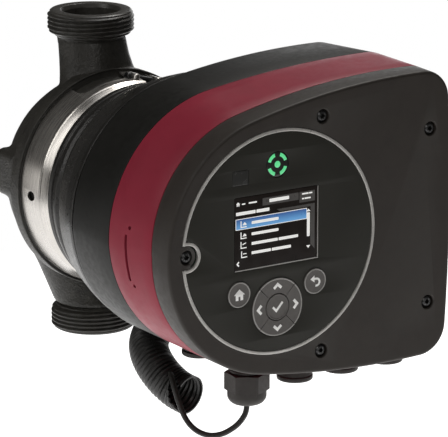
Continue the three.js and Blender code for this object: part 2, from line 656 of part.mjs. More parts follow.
const HEX_CORNER = 1 / Math.cos(Math.PI / 6);
function glandBody(x, reach) {
  const collar = uprightDisc(ENTRY.bossR, x, reach, GLAND.bodyEnd, ENTRY.glandBossEnd - GAP);
  const stem = uprightDisc(ENTRY.threadR, x, reach, GLAND.bodyEnd - 6, ENTRY.glandBossEnd + 14.5);
  const bore = uprightDisc(GLAND.boreR, x, reach, -110, -50, 14);
  return carve(join(collar, stem), bore);
}

function glandNut(x, reach) {
  const { bodyEnd, nutFlats, nutEnd, domeR, end, mouthR } = GLAND;
  const top = bodyEnd - GAP;
  const hex = uprightDisc((nutFlats / 2) * HEX_CORNER, x, reach, nutEnd, top, 6);
  const domeProfile = [
    [0, top - 1], [domeR, top - 1], [domeR, end + 4.5], [domeR - 1.3, end + 1.3], [domeR - 4.5, end], [0, end],
  ];
  const socket = uprightDisc(ENTRY.threadR + GAP, x, reach, bodyEnd - 6.4, -70);
  const mouth = uprightDisc(mouthR, x, reach, -110, -70, 14);
  return carve(join(hex, turnedUpright(domeProfile, x, reach)), socket, mouth);
}

// ---- Assembly ----

const pump = new THREE.Group();

function add(name, geometry, material, holder = pump) {
  const mesh = new THREE.Mesh(clean(geometry), material);
  mesh.name = name;
  holder.add(mesh);
}

const F = FINISHES;

// Hydraulic end and clamp.
add("pump_housing", pumpHousing(), F.castBlack);
add("neck_ring", motorRing(14.3, 16, 1.2, 4.6, 20), F.stainless);
add("housing_gasket", motorRing(46.2, 49.2, 26.4, 29.6), F.rubber);
add("clamp_band", clampBand(), F.stainless);
add("clamp_screw", clampScrew(), F.darkSteel);
add("clamp_nut", clampNut(), F.steel);

// Motor.
add("bearing_plate", bearingPlate(), F.stainless);
add("front_bearing", motorRing(SHAFT.r + GAP, 9.1, 26, 35.6, 18), F.ceramic);
add("rotor_can", rotorCan(), F.composite);
add("rear_bearing", motorRing(SHAFT.r + GAP, 9, 90.4, 95.6, 18), F.ceramic);
add("stator_core", motorRing(STATOR.innerR, STATOR.outerR, STATOR.back, STATOR.front), F.steel);
const winding = (from, to) => motorRing(WINDING.innerR, WINDING.outerR, from, to, 24);
add("winding_rear", winding(WINDING.back, STATOR.back - GAP), F.copper);
add("winding_front", winding(STATOR.front + GAP, WINDING.front), F.copper);
add("stator_housing", statorHousing(), F.paintBlack);

// Rotor.
add("shaft", motorDisc(SHAFT.r, SHAFT.back, SHAFT.front, 18), F.ceramic);
add("impeller", impeller(), F.stainless);
add("thrust_bearing", motorRing(SHAFT.r + GAP, 9.4, 36.4, 40.4, 18), F.carbon);
add("rotor_magnet", motorRing(SHAFT.r + GAP, MAGNET.r, MAGNET.back, MAGNET.front, 24), F.steel);

// Control box.
add("control_box", controlBox(), F.paintBlack);
add("trim_band", trimBand(), F.burgundy);
add("cover_seal", coverSeal(), F.rubber);
add("front_cover", frontCover(), F.coverBlack);
COVER_SCREWS.forEach(([x, z], i) => {
  const head = frontPin(x, z, SCREW.headR, COVER.front - 3.7, COVER.front - 0.6, 6);
  const shank = frontPin(x, z, SCREW.shankR, COVER.back - 12, COVER.front - 3.6, 3);
  const socket = frontPin(x, z, SCREW.socketR, COVER.front - 2.6, COVER.front, 3);
  add(`cover_screw_${i + 1}`, carve(join(head, shank), socket), F.darkSteel);
});

// Electronics: [x, z] places on the board's front face, which is at reach 119.6.
add("power_board", pushed(rectangle(20, 0, 134, 84), 118, 119.6), F.board);
add("capacitor_upper", frontPin(70, 22, 11, 120, 152), F.aluminium);
add("capacitor_lower", frontPin(70, -6, 11, 120, 152), F.aluminium);
add("filter_choke", motorRing(8, 17, 120, 134, 20).translate(-20, 0, 12), F.copper);
add("terminal_block", block(40, 130, -32, 62, 20, 14), F.plug);
add("display_board", motorDisc(49, 172.4, 174, 24), F.board);

// Control panel.
add("panel_disc", panelDisc(), F.panel);
add("panel_ring", panelRing(), F.silver);
add("display_module", block(DISPLAY.x, 179, DISPLAY.z, DISPLAY.width + 4, 8, DISPLAY.height + 4), F.steel);
const displayFace = rectangle(DISPLAY.x, DISPLAY.z, DISPLAY.width, DISPLAY.height);
add("display_window", pushed(displayFace, 183.3, 185.1), F.glass);
add("status_light", frontPin(STATUS.x, STATUS.z, STATUS.r, 176, 185.1, 8), F.lens);
add("ir_window", pushed(rectangle(IR.x, IR.z, IR.width, IR.height), 180, 185.1), F.glass);
for (const [name, side] of [["home", -1], ["back", 1]]) {
  const x = PANEL.x + side * ROUND_KEY.side;
  add(`${name}_button`, frontPin(x, ROUND_KEY.z, ROUND_KEY.r, KEY.back, KEY.front, 8), F.key);
}
add("ok_button", frontPin(KEYPAD.x, KEYPAD.z, KEYPAD.okR, KEY.back, KEY.front, 8), F.key);
for (const [name, degrees] of [["right", 0], ["up", 90], ["left", 180], ["down", 270]]) {
  add(`${name}_button`, padKey(degrees), F.key);
}

// Cable entries, sensor and its cable.
const [glandX, ...plugXs] = ENTRY.xs;
add("gland_body", glandBody(glandX, ENTRY.reach), F.plug);
add("gland_nut", glandNut(glandX, ENTRY.reach), F.plug);
add("gland_seal", turnedUpright(
  ringProfile(CABLE_R + GAP, 3.9, GLAND.end + 0.2, GLAND.end + 7), glandX, ENTRY.reach, 14,
), F.rubber);
plugXs.forEach((x, i) => {
  add(`blanking_plug_${i + 1}`, blankingPlug(x, ENTRY.reach, ENTRY.bossEnd, ENTRY.end), F.plug);
});
add("blanking_plug_4", blankingPlug(
  REAR_ENTRY.x, REAR_ENTRY.reach, REAR_ENTRY.bossEnd, REAR_ENTRY.end,
), F.plug);

add("sensor_body", sensorBody(), F.plug);
add("sensor_plug", sensorPlug(), F.plug);
add("sensor_cable", routed(CABLE_ROUTE, CABLE_R, 8, 24), F.cable);
add("cable_sleeve", cableSleeve(), F.cable);

export default pump;
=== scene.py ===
import math

import bmesh
import bpy
from mathutils import Matrix, Vector


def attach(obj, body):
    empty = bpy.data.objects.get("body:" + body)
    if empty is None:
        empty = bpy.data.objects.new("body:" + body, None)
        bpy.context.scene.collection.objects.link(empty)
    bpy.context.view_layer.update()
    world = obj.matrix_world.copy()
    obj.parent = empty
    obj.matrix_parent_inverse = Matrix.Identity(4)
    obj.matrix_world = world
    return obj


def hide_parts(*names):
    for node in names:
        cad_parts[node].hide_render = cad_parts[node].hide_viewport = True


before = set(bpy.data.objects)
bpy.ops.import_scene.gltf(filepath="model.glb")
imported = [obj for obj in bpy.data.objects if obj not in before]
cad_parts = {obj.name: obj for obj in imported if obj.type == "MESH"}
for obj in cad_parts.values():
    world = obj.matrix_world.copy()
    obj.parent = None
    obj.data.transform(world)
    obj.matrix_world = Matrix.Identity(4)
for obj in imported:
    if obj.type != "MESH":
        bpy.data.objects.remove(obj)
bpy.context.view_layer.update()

MM = 0.001
CASING = "casing"

# ---- Driving dimensions ----
PORT = {"half": 90, "crest": 23.8, "root": 22.5, "bore": 15.2, "pitch": 2.309, "neck": 18.6}
OUTLET_NECK = [  # height, reach of the centre, radius across, radius front to back
    (75.5, 0.6, 18.6, 18.6), (66, 3, 19.5, 18.4), (58, 5.8, 21.4, 17), (50, 9.6, 24.6, 15),
    (42, 11, 30, 14),
    (24, 9, 38, 14),
]
INLET_NECK = [
    (-75.5, -1.1, 21.2, 21.1), (-70, -3.8, 22.4, 22.2), (-65, -5.8, 23.6, 23.2), (-55, -9.5, 26.4, 24.6),
    (-42, -13, 31.5, 27), (-30, -15, 37, 29), (-10, -16, 39, 30),
]
OUTLET_DUCT = [(0, 0, 94), (0, 0, 84), (0, 0.5, 74), (0, 2.6, 66), (0, 5.6, 58), (0, 9, 50), (0, 12, 40)]
INLET_DUCT = [(0, 0, -94), (0, 0, -84), (0, -1.5, -74), (0, -4.5, -66), (0, -8, -54), (0, -12.5, -40)]
DUCT_R = 13.4

BAND_BACK, BAND_FRONT = 137.3, 169
COVER_BACK, COVER_FRONT = 169.3, 185
# The box's outline at four reaches; bend is the radius of the long curves of the top and bottom, and
# low holds what differs in the lower half; shift is the height of its left arc's centre.
REAR_LOW = {"r": 73.2, "shift": 4, "crest": 78.5, "corner": 20, "bend": 600}
FACE_LOW = {"r": 67.2, "shift": -2.9, "crest": 76.4, "corner": 16.5, "bend": 500}
OUTLINES = [
    (101.6, {"r": 73, "crest": 80.2, "right": 99.5, "corner": 18, "bend": 450, "low": REAR_LOW}),
    (BAND_BACK, {"r": 73, "crest": 80.2, "right": 111, "corner": 23, "bend": 600, "low": REAR_LOW}),
    (BAND_FRONT, {"r": 67.4, "crest": 78, "right": 110.5, "corner": 17, "bend": 400, "low": FACE_LOW}),
    (COVER_FRONT - 1.6, {"r": 67, "crest": 78, "right": 108.6, "corner": 16.5, "bend": 400, "low": FACE_LOW}),
]
SIDE_RADIUS = 1000

PANEL_R, RING_R, PANEL_BACK, PANEL_FRONT = 57.3, 59.3, 183.7, 185.2
NOTCH_X, NOTCH_R = -56.15, 6.3
PANEL_X = -1.8
COVER_SCREWS = [(26.3, 62.3), (26.3, -62.3), (94.6, 47), (94.6, -47), (NOTCH_X, 0)]
DISPLAY = {"x": -2, "z": 7.3, "w": 51.4, "h": 38.6}
STATUS = (PANEL_X, 41, 6.7)
IR = (-24.2, 36.8, 9.7, 7.6)
KEYPAD_Z, KEYPAD_R, OK_R = -34, 15.3, 6.9
ROUND_KEY_SIDE, ROUND_KEY_Z, ROUND_KEY_R = 23.4, -24, 6.7
KEY_BACK, KEY_FRONT = 175.2, 185.9

# Cable entries: x, reach and the lower end of the boss; the first one takes the gland.
ENTRIES = [(2.6, 151, -76.3), (33, 151, -79.5), (62.5, 151, -79.5), (92, 151, -79.5), (-1.6, 112, -75.3)]
BOSS_R = 9.4
PLUG_END, REAR_PLUG_END = -87.6, -78.3

CABLE_R = 1.5
CABLE_ROUTE = [  # x, reach, z from the gland round the loop and into the sleeve's slit
    (2.6, 151, -96), (2.5, 151, -98), (2.1, 151, -100.2), (1.1, 150.9, -102.6), (-0.6, 150.5, -105),
    (-2.8, 149.8, -107.4), (-5.6, 148.4, -109.7), (-8.7, 146.4, -111.8), (-12, 143.8, -113.1),
    (-15.3, 140.4, -113.3),
    (-18.3, 136.3, -112), (-20.2, 131.8, -109.5), (-20.9, 127.2, -106), (-20.6, 122.7, -102),
    (-19.9, 118.4, -97.9), (-19, 114.3, -94.1), (-17.7, 110.3, -91), (-16.2, 106.6, -89.3),
    (-14.7, 103, -89.6), (-13.4, 99.7, -91.9),
]
SLEEVE_R = 10.8
SLEEVE_ROUTE = [  # x, reach, z from the sensor round to the open end
    (59, 14, -43.9), (59, 16.6, -43.9), (58.7, 20.4, -44.9), (57.3, 25, -47.6), (54, 29.6, -52),
    (48.3, 34.2, -57.3), (40.8, 38.6, -62.4), (32, 43, -67), (22.4, 47.8, -71.2), (13, 53.3, -74.6),
    (4.3, 59.1, -77.2), (-3.8, 66.2, -79.6), (-9.9, 73.9, -82.6), (-13, 81.7, -86.4), (-13.6, 89, -90.7),
    (-12.5, 95.5, -94.9), (-10.7, 101, -98.1), (-8.9, 106, -100), (-7.6, 110.8, -100.8),
]


def at(x, reach, z):
    return Vector((x, -reach, z)) * MM


# ---- Camera ----
CAMERA_AT = (-0.9095, -1.5182, 0.4420)
CAMERA_AZIMUTH, CAMERA_ELEVATION, CAMERA_VIEW = -33.29, 14.91, 7.8  # degrees


def camera():
    data = bpy.data.cameras.new("camera")
    data.sensor_width = 36
    data.lens = data.sensor_width / 2 / math.tan(math.radians(CAMERA_VIEW / 2))
    data.clip_end = 50
    obj = bpy.data.objects.new("camera", data)
    azimuth, elevation = math.radians(CAMERA_AZIMUTH), math.radians(CAMERA_ELEVATION)
    level = math.cos(elevation)
    forward = Vector((-math.sin(azimuth) * level, math.cos(azimuth) * level, -math.sin(elevation)))
    obj.location = CAMERA_AT
    obj.rotation_euler = forward.to_track_quat("-Z", "Y").to_euler()
    bpy.context.scene.collection.objects.link(obj)
    bpy.context.scene.camera = obj


camera()


# ---- Materials ----

class Finish:
    """One Principled material; patterns are worked out from object coordinates, in metres."""

    def __init__(self, name, color, roughness, metallic=0.0, **constants):
        self.material = bpy.data.materials.new(name)
        self.material.use_nodes = True
        self.nodes = self.material.node_tree.nodes
        self.links = self.material.node_tree.links
        self.shader = self.nodes["Principled BSDF"]
        self.color = color
        self.shader.inputs["Base Color"].default_value = (*color, 1)
        self.shader.inputs["Roughness"].default_value = roughness
        self.shader.inputs["Metallic"].default_value = metallic
        for key, value in constants.items():
            self.shader.inputs[key.replace("_", " ")].default_value = value
        self.coordinates = self.nodes.new("ShaderNodeTexCoord").outputs["Object"]

    def node(self, kind, **values):
        made = self.nodes.new(kind)
        for key, value in values.items():
            setattr(made, key, value)
        return made

    def noise(self, size, detail=3, stretch=(1, 1, 1)):
        mapping = self.node("ShaderNodeMapping")
        mapping.inputs["Scale"].default_value = [s / (size * MM) for s in stretch]
        texture = self.node("ShaderNodeTexNoise")
        texture.inputs["Scale"].default_value = 1
        texture.inputs["Detail"].default_value = detail
        self.links.new(self.coordinates, mapping.inputs["Vector"])
        self.links.new(mapping.outputs["Vector"], texture.inputs["Vector"])
        return texture.outputs["Fac"]

    def ranged(self, value, low, high, new_low, new_high):
        spread = self.node("ShaderNodeMapRange")
        for key, number in (("From Min", low), ("From Max", high), ("To Min", new_low), ("To Max", new_high)):
            spread.inputs[key].default_value = number
        self.links.new(value, spread.inputs["Value"])
        return spread.outputs["Result"]

    def bump(self, height, depth, strength=1.0):
        bump = self.node("ShaderNodeBump")
        bump.inputs["Distance"].default_value = depth * MM
        bump.inputs["Strength"].default_value = strength
        self.links.new(height, bump.inputs["Height"])
        normal = self.shader.inputs["Normal"]
        if normal.links:
            self.links.new(normal.links[0].from_socket, bump.inputs["Normal"])
        self.links.new(bump.outputs["Normal"], normal)
        return self

    def blend_color(self, factor, other):
        mix = self.node("ShaderNodeMix", data_type="RGBA")
        base = self.shader.inputs["Base Color"]
        mix.inputs["A"].default_value = base.default_value
        if base.links:
            self.links.new(base.links[0].from_socket, mix.inputs["A"])
        mix.inputs["B"].default_value = (*other, 1)
        self.links.new(factor, mix.inputs["Factor"])
        self.links.new(mix.outputs["Result"], base)
        return self

    def mottle(self, size, low, high):
        """Lighter and darker patches, from low to high times the base colour."""
        pale = [min(1, c * high) for c in self.color]
        dark = [c * low for c in self.color]
        patches = self.noise(size, 4)
        self.blend_color(self.ranged(patches, 0.35, 0.65, 0, 1), pale)
        self.blend_color(self.ranged(self.noise(size * 0.37, 3), 0.45, 0.75, 0, 0.8), dark)
        return self

    def rough(self, size, low, high, stretch=(1, 1, 1)):
        spread = self.ranged(self.noise(size, 4, stretch), 0.3, 0.7, low, high)
        self.links.new(spread, self.shader.inputs["Roughness"])
        return self

    def edge_highlight(self, color, amount=0.5, start=0.53):
        """Paints convex edges in a paler colour: a painted edge highlight."""
        geometry = self.node("ShaderNodeNewGeometry")
        edge = self.ranged(geometry.outputs["Pointiness"], start, start + 0.08, 0, amount)
        return self.blend_color(edge, color)

    def lit(self, color, strength):
        self.shader.inputs["Emission Color"].default_value = (*color, 1)
        self.shader.inputs["Emission Strength"].default_value = strength
        return self


def finish(name, color, roughness, mottle, rough, metallic=0.0, specular=0.5, edge_highlight=None, lit=None, bumps=(),
           **constants):
    """A plain material. Each bump is its depth and strength, then what noise() takes."""
    f = Finish(name, color, roughness, metallic, Specular_IOR_Level=specular, **constants)
    f.mottle(*mottle).rough(*rough)
    # The edge colour is a painted highlight along convex edges.
    if edge_highlight:
        f.edge_highlight(*edge_highlight)
    if lit:
        f.lit(*lit)
    for depth, strength, *noise in bumps:
        f.bump(f.noise(*noise), depth, strength)
    return f.material


def screen_blue():
    """The picked row: deep blue at its top, brighter below."""
    f = Finish("screen_blue", (0.03, 0.09, 0.28), 0.3, 0.0)
    split = f.node("ShaderNodeSeparateXYZ")
    f.links.new(f.coordinates, split.inputs["Vector"])
    top, bottom = 15.2 * MM, 10.4 * MM
    fall = f.ranged(split.outputs["Z"], bottom, top, 1, 0)
    f.blend_color(fall, (0.12, 0.32, 0.62)).rough(3, 0.25, 0.35)
    glow = f.node("ShaderNodeMix", data_type="RGBA")
    glow.inputs["A"].default_value = (0.03, 0.09, 0.28, 1)
    glow.inputs["B"].default_value = (0.12, 0.34, 0.62, 1)
    f.links.new(fall, glow.inputs["Factor"])
    f.links.new(glow.outputs["Result"], f.shader.inputs["Emission Color"])
    f.shader.inputs["Emission Strength"].default_value = 0.5
    return f.material


def laminations():
    f = Finish("laminations", (0.30, 0.29, 0.28), 0.42, 0.9)
    sheets = f.noise(0.5, 2, (0.01, 1, 0.01))
    f.blend_color(f.ranged(sheets, 0.45, 0.55, 0, 0.8), (0.13, 0.12, 0.12)).rough(0.8, 0.35, 0.5)
    return f.bump(sheets, 0.05, 0.7).material


def windings():
    f = Finish("windings", (0.58, 0.23, 0.08), 0.32, 0.9, Coat_Weight=0.4, Coat_Roughness=0.15)
    wires = f.noise(0.9, 1, (0.03, 1, 0.03))
    f.blend_color(f.ranged(wires, 0.42, 0.58, 0.6, 0), (0.22, 0.07, 0.02)).rough(1.5, 0.26, 0.4)
    return f.bump(wires, 0.25, 0.8).material


def circuit_board():
    f = Finish("circuit_board", (0.018, 0.105, 0.045), 0.38, 0.0, Coat_Weight=0.3, Coat_Roughness=0.2)
    tracks = f.node("ShaderNodeTexBrick")
    tracks.inputs["Scale"].default_value = 1 / (9 * MM)
    tracks.inputs["Mortar Size"].default_value = 0.06
    turn = f.node("ShaderNodeMapping")
    turn.inputs["Rotation"].default_value = (math.pi / 2, 0, 0)
    f.links.new(f.coordinates, turn.inputs["Vector"])
    f.links.new(turn.outputs["Vector"], tracks.inputs["Vector"])
    f.blend_color(f.ranged(tracks.outputs["Fac"], 0, 1, 0, 0.7), (0.05, 0.22, 0.09)).rough(4, 0.32, 0.45)
    return f.bump(tracks.outputs["Fac"], 0.05, 0.6).material


# Several finishes below get a paler edge colour: a painted highlight along convex edges.
CAST = finish("cast_black", (0.024, 0.0225, 0.019), 0.4, (9, 0.6, 1.5), (1.4, 0.3, 0.52), specular=0.45,
              edge_highlight=((0.07, 0.067, 0.06), 0.5), bumps=[(0.45, 0.8, 1.4, 4), (0.16, 0.7, 0.6, 2)])
THREAD = finish("thread_black", (0.034, 0.032, 0.028), 0.36, (3, 0.7, 1.4), (0.9, 0.26, 0.45),
                edge_highlight=((0.09, 0.085, 0.08), 0.55), bumps=[(0.03, 0.5, 0.5, 3, (1, 1, 4))])
MOTOR = finish("motor_paint", (0.013, 0.0122, 0.011), 0.3, (14, 0.75, 1.3), (2.4, 0.25, 0.36),
               edge_highlight=((0.04, 0.038, 0.035), 0.4), bumps=[(0.2, 0.8, 1.1, 3)])
BOX = finish("box_black", (0.0095, 0.0093, 0.0081), 0.42, (20, 0.85, 1.2), (3, 0.38, 0.5), specular=0.24,
             edge_highlight=((0.03, 0.029, 0.026), 0.4), bumps=[(0.035, 0.5, 0.45, 3)])
BURGUNDY = finish("burgundy", (0.272, 0.023, 0.044), 0.42, (22, 0.94, 1.07), (4, 0.36, 0.46), specular=0.2,
                  edge_highlight=((0.30, 0.05, 0.07), 0.35), bumps=[(0.025, 0.5, 0.4, 3)])
COVER = finish("cover_black", (0.033, 0.0275, 0.0235), 0.48, (24, 0.9, 1.12), (3, 0.44, 0.56), specular=0.3,
               edge_highlight=((0.10, 0.098, 0.092), 0.6, 0.52), bumps=[(0.03, 0.55, 0.35, 3)])
FOIL = finish("panel_foil", (0.027, 0.026, 0.0215), 0.5, (35, 0.95, 1.06), (12, 0.46, 0.56), specular=0.2,
              bumps=[(0.008, 0.4, 0.25, 2)])
SILVER = finish("silver_trim", (0.50, 0.485, 0.46), 0.32, (6, 0.88, 1.08), (1.5, 0.26, 0.4), metallic=0.35,
                bumps=[(0.01, 0.4, 0.3, 2)])
KEY = finish("key_grey", (0.118, 0.110, 0.104), 0.55, (5, 0.9, 1.1), (1.2, 0.48, 0.62), specular=0.4,
             bumps=[(0.015, 0.6, 0.2, 3)])
RIM = finish("key_rim", (0.34, 0.33, 0.315), 0.4, (3, 0.9, 1.08), (0.8, 0.34, 0.48),
             bumps=[(0.008, 0.5, 0.2, 2)])
# White key print with a faint painted glow, brighter than the lamps alone make it.
PRINT_WHITE_GLOW = finish("print_white_glow", (0.82, 0.81, 0.79), 0.5, (2, 0.94, 1.03), (0.6, 0.45, 0.58),
               lit=((1, 0.99, 0.97), 0.12), bumps=[(0.004, 0.4, 0.15, 2)])
GLASS = finish("screen_glass", (0.016, 0.0125, 0.011), 0.16, (30, 0.9, 1.3), (8, 0.13, 0.2), specular=0.4,
               bumps=[(0.01, 0.2, 18, 1)])
IR_GLASS = finish("sensor_glass", (0.028, 0.028, 0.026), 0.25, (8, 0.9, 1.1), (4, 0.2, 0.3),
                  bumps=[(0.01, 0.2, 5, 1)])
LENS = finish("lens_dark", (0.022, 0.024, 0.021), 0.2, (5, 0.85, 1.2), (2, 0.16, 0.26),
              bumps=[(0.01, 0.3, 1, 1)])
GREEN = finish("lens_green", (0.06, 0.42, 0.17), 0.3, (2.5, 0.85, 1.15), (1, 0.25, 0.36),
               lit=((0.12, 0.60, 0.25), 0.75), bumps=[(0.006, 0.4, 0.3, 1)])
LIT_WHITE = finish("screen_white", (0.7, 0.7, 0.68), 0.35, (3, 0.9, 1.05), (1, 0.3, 0.4),
                   lit=((1, 0.985, 0.96), 0.42))
LIT_GREY = finish("screen_grey", (0.055, 0.05, 0.047), 0.3, (12, 0.8, 1.3), (4, 0.25, 0.35),
                  lit=((0.3, 0.29, 0.28), 0.05))
LIT_BLUE = screen_blue()
BAND = finish("brushed_band", (0.60, 0.575, 0.545), 0.3, (25, 0.93, 1.05), (0.5, 0.22, 0.36, (0.03, 1, 0.03)),
              metallic=1.0, edge_highlight=((0.85, 0.83, 0.8), 0.5), bumps=[(0.008, 0.6, 0.25, 3, (0.02, 1, 0.02))],
              Anisotropic=0.35)
STEEL = finish("pressed_steel", (0.52, 0.52, 0.50), 0.32, (10, 0.88, 1.06), (2, 0.25, 0.42), metallic=1.0,
               bumps=[(0.012, 0.5, 0.4, 3)])
DARK_STEEL = finish("dark_steel", (0.055, 0.055, 0.055), 0.32, (3, 0.7, 1.5), (0.8, 0.25, 0.42),
                    metallic=0.85, edge_highlight=((0.28, 0.28, 0.28), 0.5), bumps=[(0.01, 0.6, 0.3, 3)])
RUBBER = finish("rubber", (0.016, 0.016, 0.015), 0.75, (4, 0.8, 1.3), (1, 0.68, 0.84), specular=0.35,
                bumps=[(0.03, 0.6, 0.3, 3)])
PLASTIC = finish("entry_plastic", (0.031, 0.027, 0.024), 0.5, (9, 0.85, 1.2), (1.8, 0.44, 0.58), specular=0.4,
                 edge_highlight=((0.06, 0.055, 0.052), 0.4), bumps=[(0.025, 0.6, 0.35, 3)])
JACKET = finish("cable_jacket", (0.017, 0.0155, 0.014), 0.42, (3, 0.85, 1.3), (1, 0.36, 0.5), specular=0.45,
                bumps=[(0.02, 0.5, 0.4, 3)])
SLEEVE = finish("sleeve_plastic", (0.015, 0.0145, 0.0135), 0.38, (5, 0.8, 1.35), (1.2, 0.32, 0.46),
                edge_highlight=((0.045, 0.044, 0.042), 0.5), bumps=[(0.02, 0.5, 0.3, 3)])


# ---- Outline helpers ----

def arc(centre, radius, start, end, steps):
    """Points along an arc, without the last one; angles in radians."""
    points = []
    for i in range(steps):
        angle = start + (end - start) * i / steps
        points.append(Vector((centre[0] + radius * math.cos(angle), centre[1] + radius * math.sin(angle))))
    return points


def rounded(points, steps=4):
    """A closed outline whose corners (u, v, radius) are filleted; a corner without a radius stays sharp."""
    result = []
    count = len(points)
    for i, point in enumerate(points):
        corner = Vector(point[:2])
        radius = point[2] if len(point) > 2 else 0
        before = Vector(points[i - 1][:2]) - corner
        after = Vector(points[(i + 1) % count][:2]) - corner
        turn = before.angle(after) if radius and before.length and after.length else math.pi
        if turn > math.pi - 0.02:
            result.append(corner)
            continue
        cut = min(radius / math.tan(turn / 2), before.length * 0.49, after.length * 0.49)
        radius = cut * math.tan(turn / 2)
        inward = (before.normalized() + after.normalized()).normalized()
        centre = corner + inward * (radius / math.sin(turn / 2))
        first, last = corner + before.normalized() * cut - centre, corner + after.normalized() * cut - centre
        sweep = first.angle_signed(last)
        for k in range(steps + 1):
            result.append(centre + Matrix.Rotation(-sweep * k / steps, 2) @ first)
    return result


def corner_centre(crest, side, radius):
    span = side["centre"] - crest["centre"]
    distance = span.length
    a, b = crest["radius"] - radius, side["radius"] - radius
    along = (distance ** 2 + a * a - b * b) / (2 * distance)
    across = math.sqrt(a * a - along * along)
    unit = span.normalized()
    return crest["centre"] + unit * along + Vector((unit.y, -unit.x)) * across


def half_outline(shape, inset):
    """Half an outline as if it were the upper one, from the middle of the right side to the far left."""
    r, corner, long_bend, shift = shape["r"], shape["corner"], shape["bend"], shape["shift"]
    down = shape["crest"] - long_bend
    across = math.sqrt((long_bend - r) ** 2 - (down - shift) ** 2)
    crest = {"radius": long_bend, "centre": Vector((across, down))}
    side = {"radius": SIDE_RADIUS, "centre": Vector((shape["right"] - SIDE_RADIUS, 0))}
    bend = corner_centre(crest, side, corner)
    crest_start = math.atan2(bend.y - down, bend.x - across)
    crest_end = math.atan2(shift - down, -across)
    side_end = math.atan2(bend.y, bend.x - side["centre"].x)
    half = arc(side["centre"], SIDE_RADIUS - inset, 0, side_end, 8)
    half += arc(bend, corner - inset, side_end, crest_start, 14)
    half += arc(crest["centre"], long_bend - inset, crest_start, crest_end, 16)
    return half + arc((0, shift), r - inset, crest_end, math.pi + math.asin(shift / r), 56)


def box_outline(shape, inset=0.0):
    """A circle round the motor axis, two long crest curves, two rounded corners and the right side."""
    low = shape["low"]
    upper = half_outline({**shape, "shift": 0}, inset)
    lower = half_outline({**shape, **low, "shift": -low["shift"]}, inset)
    left = [Vector((-(shape["r"] - inset), 0))]
    return upper + left + [Vector((p.x, -p.y)) for p in lower[:0:-1]]


def box_ring(reach, inset=0.0):
    """The box's outline at a reach, pulled in by inset, as points of the frame."""
    k = 0
    while k < len(OUTLINES) - 2 and reach > OUTLINES[k + 1][0]:
        k += 1
    (back, first), (front, second) = OUTLINES[k], OUTLINES[k + 1]
    share = max(0, min(1, (reach - back) / (front - back)))
    ring = []
    for a, b in zip(box_outline(first, inset), box_outline(second, inset)):
        point = a.lerp(b, share)
        ring.append(at(point.x, reach, point.y))
    return ring


# ---- Mesh helpers ----

def as_object(name, mesh):
    obj = bpy.data.objects.new(name, mesh)
    bpy.context.scene.collection.objects.link(obj)
    return obj


def as_mesh(bm):
    bmesh.ops.remove_doubles(bm, verts=bm.verts, dist=1e-7)
    bmesh.ops.recalc_face_normals(bm, faces=bm.faces)
    mesh = bpy.data.meshes.new("part")
    bm.to_mesh(mesh)
    bm.free()
    return mesh


def skin(rings, looped=False):
    """Faces over a stack of rings with the same number of points."""
    bm = bmesh.new()
    loops = [[bm.verts.new(p) for p in ring] for ring in rings]
    count = len(rings[0])
    pairs = list(zip(loops, loops[1:]))
    if looped:
        pairs.append((loops[-1], loops[0]))
    for low, high in pairs:
        for i in range(count):
            j = (i + 1) % count
            bm.faces.new((low[i], low[j], high[j], high[i]))
    if not looped:
        bm.faces.new(loops[0])
        bm.faces.new(loops[-1])
    return as_mesh(bm)


MOTOR_AXIS = (Vector((0, 0, 0)), Vector((0, -1, 0)), Vector((0, 0, 1)))


def upright(x, reach):
    return Vector((x, -reach, 0)), Vector((0, 0, 1)), Vector((1, 0, 0))


def front_axis(x, z):
    return Vector((x, 0, z)), Vector((0, -1, 0)), Vector((1, 0, 0))


def side_axis(reach, z):
    return Vector((0, -reach, z)), Vector((1, 0, 0)), Vector((0, 0, 1))


def turned(profile, axis, sides=96, sweep=(0, 360), radius_at=None):
    """A turned piece. The profile is a closed loop of (radius, distance) along an axis
    (origin, direction, zero direction); radius_at(radius, distance, angle) may reshape it."""
    origin, direction, zero = axis
    other = direction.cross(zero)
    start, end = (math.radians(a) for a in sweep)
    whole = sweep[1] - sweep[0] >= 360
    rings = []
    for i in range(sides if whole else sides + 1):
        angle = start + (end - start) * i / sides
        way = zero * math.cos(angle) + other * math.sin(angle)
        ring = []
        for r, t in profile:
            shaped = radius_at(r, t, angle) if radius_at else r
            ring.append((origin + direction * t + way * shaped) * MM)
        rings.append(ring)
    return skin(rings, looped=whole)


def cylinder(r, start, end, axis, sides=96):
    return turned([(0, start), (r, start), (r, end), (0, end)], axis, sides)


def plate(loops, back, front, bevel=0.0, steps=2):
    """A flat piece facing the front, from (x, z) outlines; inner outlines are holes."""
    curve = bpy.data.curves.new("plate", "CURVE")
    curve.dimensions = "2D"
    curve.fill_mode = "BOTH"
    depth = (front - back) / 2
    curve.extrude = (depth - bevel) * MM
    curve.bevel_depth = bevel * MM
    curve.bevel_resolution = steps
    curve.offset = -bevel * MM
    for loop in loops:
        spline = curve.splines.new("POLY")
        spline.points.add(len(loop) - 1)
        spline.use_cyclic_u = True
        for point, place in zip(spline.points, loop):
            point.co = (place[0] * MM, place[1] * MM, 0, 1)
    obj = as_object("plate", curve)
    mesh = bpy.data.meshes.new_from_object(obj)
    bpy.data.objects.remove(obj)
    bpy.data.curves.remove(curve)
    to_front = Matrix(((1, 0, 0, 0), (0, 0, -1, -(back + front) / 2 * MM), (0, 1, 0, 0), (0, 0, 0, 1)))
    mesh.transform(to_front)
    bm = bmesh.new()
    bm.from_mesh(mesh)
    bpy.data.meshes.remove(mesh)
    bmesh.ops.remove_doubles(bm, verts=bm.verts, dist=2e-6)
    return as_mesh(bm)


def joined(*meshes):
    """Several meshes in one, each keeping its own faces."""
    bm = bmesh.new()
    for mesh in meshes:
        bm.from_mesh(mesh)
    for mesh in meshes:
        bpy.data.meshes.remove(mesh)
    whole = bpy.data.meshes.new("joined")
    bm.to_mesh(whole)
    bm.free()
    return whole


